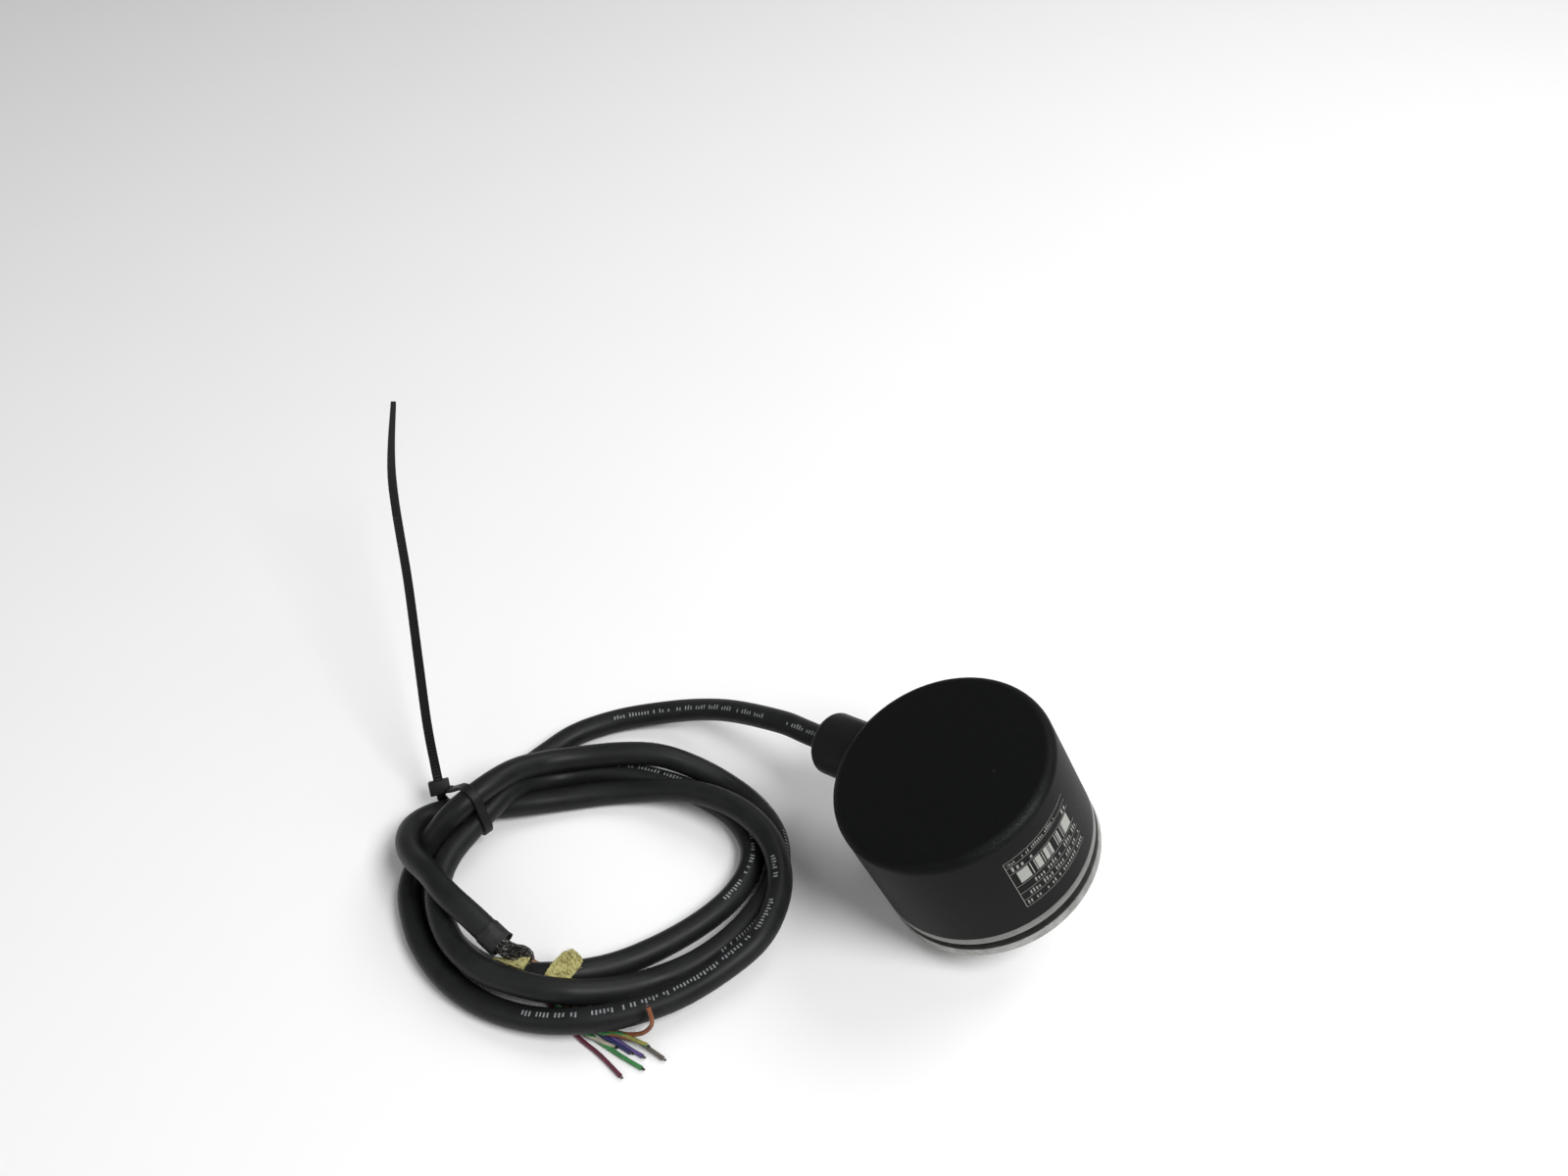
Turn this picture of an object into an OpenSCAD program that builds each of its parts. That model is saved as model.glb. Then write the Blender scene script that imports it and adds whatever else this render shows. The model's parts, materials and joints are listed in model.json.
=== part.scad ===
// Incremental rotary encoder with a synchro flange, a 6 mm solid shaft and a moulded cable.
// Millimetres. It lies as an unmounted one does: tipped onto its collar and shaft end.
// Each module models its piece upright (+Z along the shaft, away from it) and place() tips it.

/* [Housing] */
// outside diameter of the flange and the cap
body_d = 58; // [50:0.5:65]
// mounting face to the top of the cap
body_h = 40.2; // [34:0.1:50]
// diameter of the centring collar
collar_d = 50; // [44:0.5:54]
// length of the collar in front of the mounting face
collar_h = 3; // [2:0.5:5]
// thickness of the clamping ring below the groove
ring_h = 3; // [2:0.1:4]
// width of the clamping groove
groove_w = 2.6; // [2:0.1:4]
// diameter at the bottom of the clamping groove
groove_d = 53; // [50:0.5:56]
// mounting face to the lower edge of the cap
cap_z = 8; // [6:0.5:12]
// wall thickness of the cap
cap_wall = 1.7; // [1.2:0.1:3]
// size of the broken edge round the top of the cap
cap_edge = 2.7; // [0.4:0.1:3]

/* [Mounting holes] */
// pitch circle of the three tapped holes
bolt_pcd = 42; // [38:0.5:46]
// diameter of each tapped hole
bolt_d = 4; // [3:0.1:5]
// depth of each tapped hole from the collar's face
bolt_depth = 5; // [4:0.5:7]

/* [Shaft and bearings] */
// diameter of the shaft
shaft_d = 6; // [5:0.5:8]
// length of shaft that stands out of the collar
shaft_out = 10; // [8:0.5:20]
// outside diameter of both ball bearings
bearing_d = 19; // [15:0.5:22]
// width of both ball bearings
bearing_w = 6; // [4:0.5:7]
// diameter of a bearing ball
ball_d = 3.5; // [2.5:0.1:4]
// number of balls in a bearing
balls = 7; // [6:1:9]

/* [Code disk] */
// diameter of the glass code disk
disk_d = 37; // [30:0.5:42]
// thickness of the glass code disk
disk_t = 1; // [0.6:0.1:1.5]

/* [Circuit board] */
// diameter of the circuit board
pcb_d = 49; // [40:0.5:50]
// mounting face to the lower side of the circuit board
pcb_z = 31; // [29.5:0.5:33]

/* [Cable outlet] */
// outside diameter of the moulded outlet
boss_d = 17; // [14:0.5:20]
// length of the outlet outside the cap
boss_l = 14; // [10:0.5:18]
// height of the outlet's axis above the mounting face
boss_z = 29.4; // [24:0.1:32]
// direction of the outlet round the shaft
boss_a = 140; // [90:1:180]

/* [Cable] */
// outside diameter of the cable
cable_d = 6.5; // [5:0.1:8]

/* [Cable tie] */
// width of the tie's strap
tie_w = 2.5; // [2.2:0.1:4.8]
// thickness of the tie's strap
tie_t = 1; // [0.8:0.1:1.4]

/* [Hidden] */
$fn = 0;
$fa = 4;
$fs = 0.4;
edge = 0.3;
lean = atan((shaft_out) / (collar_d / 2 - shaft_d / 2));
rest_z = (collar_d / 2 - edge) * sin(lean) + collar_h * cos(lean);
stand = [10.68, -2.27, rest_z];
aluminium = [0.78, 0.79, 0.8];
black = [0.07, 0.07, 0.075];
steel = [0.6, 0.61, 0.63];
brass = [0.75, 0.62, 0.34];
cap_top = body_h;
cap_in = body_d / 2 - cap_wall;
spigot_r = cap_in - 0.05;
spigot_top = cap_z + 6;
brg1_z = 1.5;
brg2_z = 14.5;
tube_top = 22;
tube_r = bearing_d / 2 + 2.6;
inner_r = 4.55;
outer_r = 7.9;
pitch_r = (inner_r + outer_r) / 2;
hub_z = 22.4;
disk_z = 25.4;
seat_r = shaft_d / 2 + 0.2;
nut_r = body_d / 2 - cap_wall - 3.9;
scan_a = 310;
post_r = 21.3;
post_a = [20, 95, 235];

module place() {
    translate(stand) rotate([0, -lean, 0]) children();
}

module ring(z, h, ro, ri) {
    translate([0, 0, z]) difference() {
        cylinder(r = ro, h = h);
        translate([0, 0, -1]) cylinder(r = ri, h = h + 2);
    }
}

module around(n, r, a0 = 0) {
    for (i = [0 : n - 1]) rotate(a0 + i * 360 / n) translate([r, 0, 0]) children();
}

module radial(a, z) {
    translate([0, 0, z]) rotate(a) rotate([0, 90, 0]) children();
}

// ---- housing ----

module flange() {
    color(aluminium) place() difference() {
        union() {
            rotate_extrude() polygon([
                [0, -collar_h], [collar_d / 2 - edge, -collar_h], [collar_d / 2, -collar_h + edge],
                [collar_d / 2, 0], [body_d / 2 - edge, 0], [body_d / 2, edge],
                [body_d / 2, ring_h], [groove_d / 2, ring_h], [groove_d / 2, ring_h + groove_w],
                [body_d / 2, ring_h + groove_w], [body_d / 2, cap_z], [spigot_r, cap_z],
                [spigot_r, spigot_top], [spigot_r - 2.5, spigot_top], [spigot_r - 2.5, cap_z],
                [tube_r, cap_z], [tube_r, tube_top], [0, tube_top]]);
        }
        translate([0, 0, -collar_h - 1]) cylinder(r = 6, h = 1 + 3.4);
        translate([0, 0, -collar_h - 1]) cylinder(r = 4.4, h = 8);
        translate([0, 0, brg1_z]) cylinder(r = bearing_d / 2, h = 30);
        rotate_extrude() polygon([
            [bearing_d / 2 - 1, 20.6], [bearing_d / 2 + 0.9, 20.6],
            [bearing_d / 2 + 0.9, 21.4], [bearing_d / 2 - 1, 21.4]]);
        rotate_extrude() polygon([
            [spigot_r - 1.5, 10], [spigot_r + 1, 10], [spigot_r + 1, 12.2], [spigot_r - 1.5, 12.2]]);
        around(3, bolt_pcd / 2, 60) translate([0, 0, -collar_h - 1])
            cylinder(d = bolt_d, h = 1 + bolt_depth);
        for (a = post_a) rotate(a) translate([post_r, 0, cap_z - 3]) cylinder(r = 1.25, h = 5);
        rotate(scan_a) translate([16, 0, 0]) for (s = [-1, 1])
            translate([0, s * 6, cap_z - 4]) cylinder(r = 1, h = 6);
        radial(-66, ring_h + groove_w + 1.1) translate([0, 0, body_d / 2 - 1]) cylinder(r = 0.45, h = 3);
    }
}

module cap() {
    color(black) place() difference() {
        rotate_extrude() polygon(concat([[cap_in, cap_z], [body_d / 2, cap_z]],
            [for (a = [0 : 15 : 90]) [body_d / 2 - cap_edge + cap_edge * cos(a), cap_top - cap_edge + cap_edge * sin(a)]],
            [[0, cap_top], [0, cap_top - 2], [cap_in - 1, cap_top - 2], [cap_in, cap_top - 3]]));
        radial(boss_a, boss_z) translate([0, 0, 20]) cylinder(r = 5.6, h = 12);
    }
}

module cap_o_ring() {
    color([0.1, 0.1, 0.1]) place() translate([0, 0, 11.1])
        rotate_extrude() translate([spigot_r - 0.72, 0]) circle(r = 0.75, $fn = 24);
}

// ---- shaft, bearings ----

module shaft() {
    r = shaft_d / 2;
    color(steel) place() rotate_extrude() polygon([
        [0, -collar_h - shaft_out], [r - edge, -collar_h - shaft_out],
        [r, -collar_h - shaft_out + edge],
        [r, -collar_h + 0.1], [seat_r, -collar_h + 0.3],
        [seat_r, 29.6], [seat_r - 0.4, 30], [0, 30]]);
}

module shaft_seal() {
    color([0.12, 0.12, 0.12]) place() rotate_extrude() polygon([
        [seat_r + 0.05, -2.6], [seat_r + 0.4, -2.8], [6, -2.8], [6, 0.3],
        [seat_r + 0.6, 0.3], [seat_r + 0.6, -1.2], [seat_r + 0.05, -1.6]]);
}

module race_outer(z) {
    rotate_extrude() polygon([
        [outer_r, z + 0.2], [bearing_d / 2 - 0.2, z], [bearing_d / 2, z + 0.2],
        [bearing_d / 2, z + bearing_w - 0.2], [bearing_d / 2 - 0.2, z + bearing_w],
        [outer_r, z + bearing_w - 0.2], [outer_r, z + bearing_w / 2 + 0.7],
        [outer_r + 0.09, z + bearing_w / 2], [outer_r, z + bearing_w / 2 - 0.7]]);
}

module race_inner(z) {
    rotate_extrude() polygon([
        [seat_r, z + 0.2], [seat_r + 0.2, z], [inner_r, z + 0.2],
        [inner_r, z + bearing_w / 2 - 0.7], [inner_r - 0.09, z + bearing_w / 2],
        [inner_r, z + bearing_w / 2 + 0.7], [inner_r, z + bearing_w - 0.2],
        [seat_r + 0.2, z + bearing_w], [seat_r, z + bearing_w - 0.2]]);
}

module ball_set(z) {
    translate([0, 0, z + bearing_w / 2]) around(balls, pitch_r)
        sphere(d = min(ball_d, outer_r - inner_r - 0.04));
}

module cage(z) {
    difference() {
        ring(z + bearing_w / 2 - 2.3, 4.6, pitch_r + 0.55, pitch_r - 0.55);
        translate([0, 0, z + bearing_w / 2]) around(balls, 0)
            rotate([0, 90, 0]) cylinder(d = ball_d, h = 20);
    }
}

module front_outer_race() { color(steel) place() race_outer(brg1_z); }
module front_inner_race() { color(steel) place() race_inner(brg1_z); }
module front_balls() { color([0.85, 0.85, 0.87]) place() ball_set(brg1_z); }
module front_cage() { color(brass) place() cage(brg1_z); }
module rear_outer_race() { color(steel) place() race_outer(brg2_z); }
module rear_inner_race() { color(steel) place() race_inner(brg2_z); }
module rear_balls() { color([0.85, 0.85, 0.87]) place() ball_set(brg2_z); }
module rear_cage() { color(brass) place() cage(brg2_z); }

module outer_spacer() {
    color(aluminium) place() ring(brg1_z + bearing_w, 6, bearing_d / 2 - 0.05, outer_r + 0.4);
}

module inner_spacer() {
    color(steel) place() ring(brg1_z + bearing_w, 7, inner_r - 0.3, seat_r);
}

module wave_spring() {
    color(steel) place() ring(brg1_z + bearing_w + 6, 1, bearing_d / 2 - 0.3, outer_r + 0.3);
}

module bore_circlip() {
    color([0.25, 0.25, 0.26]) place() difference() {
        ring(20.62, 0.76, bearing_d / 2 + 0.8, bearing_d / 2 - 1.4);
        translate([0, -1.5, 20]) cube([14, 3, 2]);
    }
}

// ---- code disk ----

module disk_hub() {
    color(brass) place() difference() {
        rotate_extrude() polygon([
            [seat_r, hub_z], [6, hub_z], [6, disk_z - 1], [8.5, disk_z - 1], [8.5, disk_z],
            [4.6, disk_z], [4.6, disk_z + 3.4], [seat_r, disk_z + 3.4]]);
        for (a = [0, 90]) radial(a, hub_z + 1) translate([0, 0, 2]) cylinder(r = 0.7, h = 6);
    }
}

module hub_screws() {
    color([0.2, 0.2, 0.21]) place() for (a = [0, 90]) radial(a, hub_z + 1)
        translate([0, 0, seat_r + 0.05]) difference() {
            cylinder(r = 0.7, h = 2.6);
            translate([0, 0, 1.8]) cylinder(r = 0.35, h = 1, $fn = 6);
        }
}

module code_disk() {
    color([0.7, 0.8, 0.85, 0.5]) place() ring(disk_z, disk_t, disk_d / 2, 4.62);
}

module disk_clamp() {
    color(aluminium) place() ring(disk_z + disk_t, 1.2, 7.5, 4.62);
}

// ---- light source and scanning parts ----

module lamp_holder() {
    color([0.15, 0.15, 0.16]) place() rotate(scan_a) difference() {
        union() {
            translate([13.2, -7.5, cap_z]) cube([6, 15, 2.5]);
            translate([12.5, -4, cap_z + 2.5]) cube([8, 8, 13.5]);
        }
        translate([16.2, 0, cap_z + 8]) cylinder(r = 2.6, h = 12);
        translate([16.2, 0, cap_z + 4]) cylinder(r = 1.4, h = 12);
        for (s = [-1, 1]) translate([16, s * 6, cap_z - 1]) cylinder(r = 1.1, h = 6);
    }
}

module holder_screws() {
    color(steel) place() rotate(scan_a) for (s = [-1, 1]) translate([16, s * 6, 0]) {
        translate([0, 0, cap_z - 3.5]) cylinder(r = 1, h = 6.1);
        translate([0, 0, cap_z + 2.5]) difference() {
            cylinder(r = 1.5, h = 1.2);
            translate([-0.25, -2, 0.7]) cube([0.5, 4, 1]);
        }
    }
}

module lamp() {
    color([0.9, 0.75, 0.7]) place() rotate(scan_a) translate([16.2, 0, cap_z + 8]) {
        cylinder(r = 2.5, h = 1.2);
        cylinder(r = 1.7, h = 3);
        translate([0, 0, 3]) intersection() {
            sphere(r = 1.7);
            cylinder(r = 2, h = 2);
        }
        for (s = [-1, 1]) translate([s * 0.64, 0, -3.5]) cylinder(r = 0.24, h = 3.6);
    }
}

module condenser_lens() {
    color([0.8, 0.85, 0.9, 0.5]) place() rotate(scan_a) translate([16.2, 0, cap_z + 13.2])
        rotate_extrude() polygon([[0, 0], [2.55, 0], [2.55, 1.3], [2, 1.75], [1.2, 2.1], [0, 2.3]]);
}

module reticle() {
    color([0.75, 0.83, 0.87, 0.6]) place() rotate(scan_a)
        translate([12.6, -4, disk_z + disk_t + 0.25]) cube([7.4, 8, 0.9]);
}

module reticle_frame() {
    z0 = disk_z + disk_t + 0.25;
    color([0.15, 0.15, 0.16]) place() rotate(scan_a) difference() {
        translate([11.4, -5.4, z0]) cube([9.8, 10.8, pcb_z - z0]);
        translate([12.6, -4, z0 - 1]) cube([7.4, 8, 1.9]);
        translate([13.6, -3, z0 - 1]) cube([5.4, 6, 10]);
    }
}

module photo_sensor() {
    color([0.1, 0.1, 0.12]) place() rotate(scan_a) translate([13.9, -2.6, pcb_z - 1.4])
        cube([4.6, 5.2, 1.4]);
}

// ---- circuit board ----

module board() {
    color([0.05, 0.3, 0.16]) place() difference() {
        translate([0, 0, pcb_z]) cylinder(d = pcb_d, h = 1.6);
        translate([0, 0, pcb_z - 1]) cylinder(r = 3.6, h = 4);
        for (a = post_a) rotate(a) translate([post_r, 0, pcb_z - 1]) cylinder(r = 1.35, h = 4);
        rotate(boss_a) translate([17.4, -8, pcb_z - 1]) cube([10, 16, 4]);
    }
}

module board_posts() {
    color(brass) place() for (a = post_a) rotate(a) translate([post_r, 0, 0]) {
        translate([0, 0, cap_z]) difference() {
            cylinder(r = 2.3, h = pcb_z - cap_z, $fn = 6);
            translate([0, 0, pcb_z - cap_z - 5]) cylinder(r = 1.2, h = 6);
        }
        translate([0, 0, cap_z - 2.9]) cylinder(r = 1.2, h = 3);
    }
}

module board_screws() {
    color(steel) place() for (a = post_a) rotate(a) translate([post_r, 0, pcb_z]) {
        translate([0, 0, -4]) cylinder(r = 1.15, h = 5.7);
        translate([0, 0, 1.6]) difference() {
            cylinder(r = 2.2, h = 1.5);
            translate([-0.3, -3, 0.8]) cube([0.6, 6, 1]);
        }
    }
}

module chips() {
    color([0.1, 0.1, 0.11]) place() translate([0, 0, pcb_z + 1.6]) {
        translate([-3.5, -17, 0]) cube([7, 7, 1.1]);
        translate([6, -11, 0]) cube([5, 6.2, 1.5]);
        translate([-13, -9, 0]) cube([5, 6.2, 1.5]);
        translate([7, 3, 0]) cube([5, 4, 1.4]);
    }
}

module board_smalls() {
    color([0.72, 0.66, 0.5]) place() translate([0, 0, pcb_z + 1.6]) {
        for (i = [0 : 5]) translate([-7 + i * 2.2, -8.8, 0]) cube([1, 1.8, 0.6]);
        for (i = [0 : 4]) rotate(-40 + i * 11) translate([20.4, -0.6, 0]) cube([1.6, 1, 0.6]);
        for (i = [0 : 3]) translate([-19, -6 + i * 2.6, 0]) cube([1.8, 1, 0.6]);
        translate([13.5, -3, 0]) cylinder(r = 2, h = 2.6);
    }
}

module board_socket() {
    color([0.9, 0.88, 0.8]) place() rotate(boss_a) translate([9.6, -7, pcb_z + 1.6]) difference() {
        cube([4.2, 14, 3.4]);
        translate([0.6, 0.6, 0.8]) cube([4.2, 12.8, 2]);
    }
}

module board_plug() {
    color([0.86, 0.84, 0.76]) place() rotate(boss_a) translate([10.3, -6.3, pcb_z + 2.5])
        cube([4.8, 12.6, 1.8]);
}

// ---- cable outlet ----

module outlet() {
    e = 1.5;
    r = boss_d / 2;
    x1 = body_d / 2 + boss_l;
    color([0.09, 0.09, 0.095]) place() radial(boss_a, boss_z) difference() {
        union() {
            difference() {
                rotate_extrude() polygon([
                    [0, 26], [r, 26], [r, x1 - e], [r - e * 0.29, x1 - e * 0.29],
                    [r - e, x1], [0, x1]]);
                rotate([0, 90, 0]) cylinder(d = body_d, h = 60, center = true);
            }
            translate([0, 0, nut_r]) cylinder(r = 5.5, h = body_d / 2 - nut_r + 1);
        }
        translate([0, 0, 20]) cylinder(r = 4.3, h = 20);
        translate([0, 0, 20]) cylinder(d = cable_d + 0.1, h = 40);
    }
}

module outlet_nut() {
    color(steel) place() radial(boss_a, boss_z) difference() {
        translate([0, 0, nut_r + 0.3]) cylinder(r = 7.4, h = 2.4, $fn = 6);
        translate([0, 0, nut_r]) cylinder(r = 5.52, h = 4);
    }
}

module outlet_grommet() {
    color([0.16, 0.16, 0.16]) place() radial(boss_a, boss_z)
        ring(nut_r + 3, 13.4, 4.28, cable_d / 2);
}

module crimp_sleeve() {
    color(steel) place() radial(boss_a, boss_z) difference() {
        ring(nut_r - 3.4, 3.2, cable_d / 2 + 0.5, cable_d / 2);
        translate([3, -0.3, nut_r - 4]) cube([3, 0.6, 5]);
    }
}

module cable_entry() {
    color(black) place() radial(boss_a, boss_z)
        translate([0, 0, nut_r - 4]) cylinder(d = cable_d, h = body_d / 2 + boss_l - nut_r + 4);
}

// ---- cable: one sweep along the points it was laid through ----
// outlet, three turns of the coil, under the tie, a tight turn back and over to the stripped end

lay = [
    [-58, 47, 13.5], [-69, 52, 8.5], [-81, 53.5, 5], [-93, 52, 3.4], [-104, 47, 3.3],
    [-112, 39.5, 3.4], [-118, 31.5, 5.4], [-124.5, 24.5, 8.6], [-129.4, 17.4, 10.4],
    [-133, 9.5, 7.2], [-135.5, 2, 3.6], [-136, -7, 3.3], [-133, -16, 3.3], [-127, -24, 3.3],
    [-118, -30, 3.5], [-108, -33, 5.6], [-97, -33, 6.2], [-87, -29.5, 4], [-76.4, -24.1, 3.3],
    [-65.8, -16.9, 3.3], [-57.9, -9.2, 3.3], [-53.1, -0.7, 3.3], [-52.5, 8, 3.3], [-57, 17, 3.3],
    [-64, 23, 3.3], [-73, 28, 3.3], [-85, 32, 3.3], [-97, 33, 3.3], [-107, 31, 3.5],
    [-114.5, 27, 6.4], [-119, 21.5, 10.3], [-122.8, 15.8, 10.6], [-128, 8, 9.8], [-132, 0, 9.8],
    [-133.5, -9, 9.8], [-131.5, -18, 9.8], [-126.5, -27, 9.8], [-118.5, -34, 9.8],
    [-108, -38, 9.5], [-97, -39.5, 8.6], [-86, -37, 5.4], [-76, -33, 3.3], [-65, -27.5, 3.3],
    [-55, -18.5, 3.3], [-48, -8, 3.3], [-45.3, 2, 3.3], [-46.5, 12, 3.3], [-52, 21.5, 3.3],
    [-60, 28.5, 4], [-69, 32.5, 6.5], [-79, 34.5, 9.2], [-90, 34.5, 9.8], [-101, 33, 9.9],
    [-110, 30, 11.6], [-116.5, 25, 15], [-121.5, 19.5, 17], [-127, 13.5, 17.2],
    [-132, 9, 15.4], [-137, 5.5, 10], [-141, 1, 5], [-142.5, -6, 3.3], [-140, -15, 3.3],
    [-135.5, -24, 3.3], [-128, -33, 3.3], [-118, -40, 3.3], [-106, -44.5, 4.4],
    [-94, -46, 6.2], [-82, -44, 6.2], [-70, -39.5, 6.6], [-59, -33, 8.3], [-50, -25, 9.8],
    [-45.5, -14, 9.8], [-45, -4, 9.8], [-48, 6, 9.8], [-55, 14.5, 9.8], [-64, 20, 9.4],
    [-73, 23.5, 7.5], [-83, 25.5, 4.6], [-94, 25.5, 3.3], [-105, 23.5, 3.4], [-116, 21, 4.4],
    [-126, 19.7, 4.4], [-134, 19.3, 4.3], [-140.5, 17.5, 4.2], [-144.3, 12, 6.3],
    [-144, 4.5, 9.5], [-140.5, -2.5, 12.2], [-135, -9, 15], [-129, -16.5, 16.5],
    [-122, -22.5, 15.6], [-115, -28, 13]];
out_dir = [cos(boss_a) * cos(lean), sin(boss_a), cos(boss_a) * sin(lean)];
out_up = [-sin(lean), 0, cos(lean)];
exit_at = stand + boss_z * out_up + (body_d / 2 + boss_l) * out_dir;
route = concat([exit_at, exit_at + 9 * out_dir, exit_at + 18.5 * out_dir], lay);

function unit(v) = v / norm(v);
function tangent(p, i) = unit(i == 0 ? p[1] - p[0]
    : i == len(p) - 1 ? p[i] - p[i - 1]
    : unit(p[i + 1] - p[i]) + unit(p[i] - p[i - 1]));
function side(t) = unit(cross([0, 0, 1], t));
function hoop(c, t, r, n) = [for (k = [0 : n - 1])
    c + r * cos((k + 0.5) * 360 / n) * side(t) + r * sin((k + 0.5) * 360 / n) * cross(t, side(t))];

module sweep(p, r, n) {
    m = len(p);
    pts = [for (i = [0 : m - 1]) each hoop(p[i], tangent(p, i), r, n)];
    walls = [for (i = [0 : m - 2]) for (k = [0 : n - 1]) let (a = i * n + k, b = i * n + (k + 1) % n)
        each [[a, a + n, b], [b, a + n, b + n]]];
    ends = [[for (k = [0 : n - 1]) k], [for (k = [n - 1 : -1 : 0]) (m - 1) * n + k]];
    polyhedron(points = pts, faces = concat(walls, ends));
}

// a flat strap: rows of four corners, w across and t thick
module strap(p, across, w, t) {
    m = len(p);
    pts = [for (i = [0 : m - 1]) let (d = tangent(p, i), a = unit(across[i] - (across[i] * d) * d), u = cross(d, a))
        each [p[i] + a * w / 2 + u * t / 2, p[i] - a * w / 2 + u * t / 2,
            p[i] - a * w / 2 - u * t / 2, p[i] + a * w / 2 - u * t / 2]];
    walls = [for (i = [0 : m - 2]) for (k = [0 : 3]) let (a = i * 4 + k, b = i * 4 + (k + 1) % 4)
        each [[a, b, a + 4], [b, b + 4, a + 4]]];
    polyhedron(points = pts, faces = concat(walls, [[3, 2, 1, 0]],
        [[for (k = [0 : 3]) (m - 1) * 4 + k]]));
}

module cable() {
    color(black) sweep(route, cable_d / 2, 10);
}

// ---- stripped end ----

end_at = route[len(route) - 1];
end_dir = unit(end_at - route[len(route) - 2]);
collar_end = end_at + 3 * end_dir;

module jacket_collar() {
    color([0.03, 0.03, 0.03]) sweep([end_at, collar_end], cable_d / 2 + 0.3, 16);
}

module braid() {
    color([0.55, 0.56, 0.57]) sweep([collar_end, collar_end + end_dir, [-110.8, -29, 9.4], [-109.7, -27.8, 7],
        [-109, -27.3, 4.6]], 2.1, 12);
}

module fleece() {
    color([0.9, 0.85, 0.3]) {
        strap([[-117.5, -31.4, 8.9], [-112.5, -31.9, 9.1], [-107.8, -32.7, 9.8]],
            [for (i = [0 : 2]) [0.1, -1, 0.1]], 3.6, 0.4);
        strap([[-94, -27, 3.6], [-94.4, -28.6, 7.6], [-95.6, -31.2, 10.1], [-97.4, -34, 10.4], [-98.6, -35.6, 9.8]],
            [for (i = [0 : 4]) [0.9, 0.35, 0]], 7, 0.4);
    }
}

// under the inner turn, under the outer turn, then the cut tips
leads = [
    [[-107, -32.5, 0.7], [-96, -45.5, 0.7], [-88.5, -52, 0.7], [-83, -57.5, 0.7]],
    [[-105.6, -32, 0.7], [-92.5, -45.5, 0.7], [-84.5, -51.5, 0.7], [-78, -55.5, 0.7]],
    [[-104.2, -31.7, 0.7], [-90.6, -45, 0.7], [-85, -48.8, 0.7], [-81, -51.4, 0.7]],
    [[-102.8, -31.5, 0.7], [-88.8, -44.8, 0.7], [-82.5, -49.6, 0.7], [-78, -52.4, 0.7]],
    [[-106.3, -32.2, 1.9], [-94.2, -45.3, 1.9], [-89, -48.4, 1.2], [-85, -50, 0.8]],
    [[-104.9, -32, 1.9], [-91.6, -45.2, 1.9], [-85, -47.4, 2], [-79.5, -49, 2]],
    [[-103.5, -31.7, 1.9], [-89.7, -44.9, 1.9], [-82.5, -47.8, 2.2], [-77, -50.4, 2.4]],
    [[-102.1, -31.4, 1.9], [-87.4, -44.6, 1.9], [-79.5, -48.8, 1.5], [-73, -53, 0.8]],
    [[-101.3, -31.2, 0.7], [-87.1, -44.5, 0.7], [-79.6, -48, 3.4], [-75.6, -48.6, 9], [-76.4, -46, 12.6]]];

module conductors() {
    n = len(leads);
    color([0.6, 0.25, 0.25]) for (i = [0 : n - 1])
        sweep(concat([[-108.8 + 1.45 * cos(i * 40), -27.4 + 1.45 * sin(i * 40), 4.5],
            [-108.2 + 0.7 * i, -28.3 - 0.1 * i, i < 4 || i == 8 ? 1.4 : 2.6]], leads[i]), 0.5, 6);
}

// ---- cable tie ----

head_at = [-138.9, 23.9, 8.3];
head_up = [-0.203, 0.664, 0.719];
function loop_at(s, h) = [-128.1 - 0.707 * s, 13.9 + 0.707 * s, h];
loop_sh = [[5.2, 16], [2, 19.4], [-0.8, 20.85], [-3.4, 20.05], [-4.6, 18.3], [-5.8, 15], [-7.1, 11.5],
    [-7.1, 8.9], [-5.5, 6.7], [-2.4, 5.1], [0.6, 3.6], [3.5, 2.15], [6.3, 0.9], [8.3, 0.55], [10.6, 0.6],
    [12.4, 0.9]];
tail_pts = [[-138.2, 23.5, 2.4], [-138.6, 23.3, 4.2], [-138.6, 22.5, 5.4], head_at - 2.2 * head_up, head_at,
    head_at + 2.2 * head_up, head_at + 5 * head_up, [-142.5, 36.5, 20.4], [-146, 52, 30.4],
    [-150.5, 71.5, 41], [-158, 100.6, 55], [-158.9, 120, 68]];

module tie_strap() {
    p = concat([[-136.4, 23.9, 7.6], [-134.4, 20.7, 11.4]], [for (q = loop_sh) loop_at(q[0], q[1])], tail_pts);
    n = len(loop_sh) + 2;
    flat = [0.707, 0.707, 0];
    wide = [0.956, 0.292, 0];
    color([0.04, 0.04, 0.04]) strap(p, [for (i = [0 : len(p) - 1])
        i < n - 2 ? flat : i < n + 2 ? flat + (wide - flat) * (i - n + 3) / 5 : wide], tie_w, tie_t);
}

module tie_head() {
    color([0.04, 0.04, 0.04]) translate(head_at) rotate([0, 0, 17]) rotate([-44, 0, 0]) difference() {
        translate([-2.8, -1.9, -2]) cube([5.6, 4, 4]);
        translate([-1.5, -0.8, -5]) cube([3, 1.6, 10]);
    }
}

flange();
cap();
cap_o_ring();
shaft();
shaft_seal();
front_outer_race();
front_inner_race();
front_balls();
front_cage();
rear_outer_race();
rear_inner_race();
rear_balls();
rear_cage();
outer_spacer();
inner_spacer();
wave_spring();
bore_circlip();
disk_hub();
hub_screws();
code_disk();
disk_clamp();
lamp_holder();
holder_screws();
lamp();
condenser_lens();
reticle();
reticle_frame();
photo_sensor();
board();
board_posts();
board_screws();
chips();
board_smalls();
board_socket();
board_plug();
outlet();
outlet_nut();
outlet_grommet();
crimp_sleeve();
cable_entry();
cable();
jacket_collar();
braid();
fleece();
conductors();
tie_strap();
tie_head();
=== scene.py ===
import json
import math
import random

import bpy
from mathutils import Matrix, Vector, noise


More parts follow.
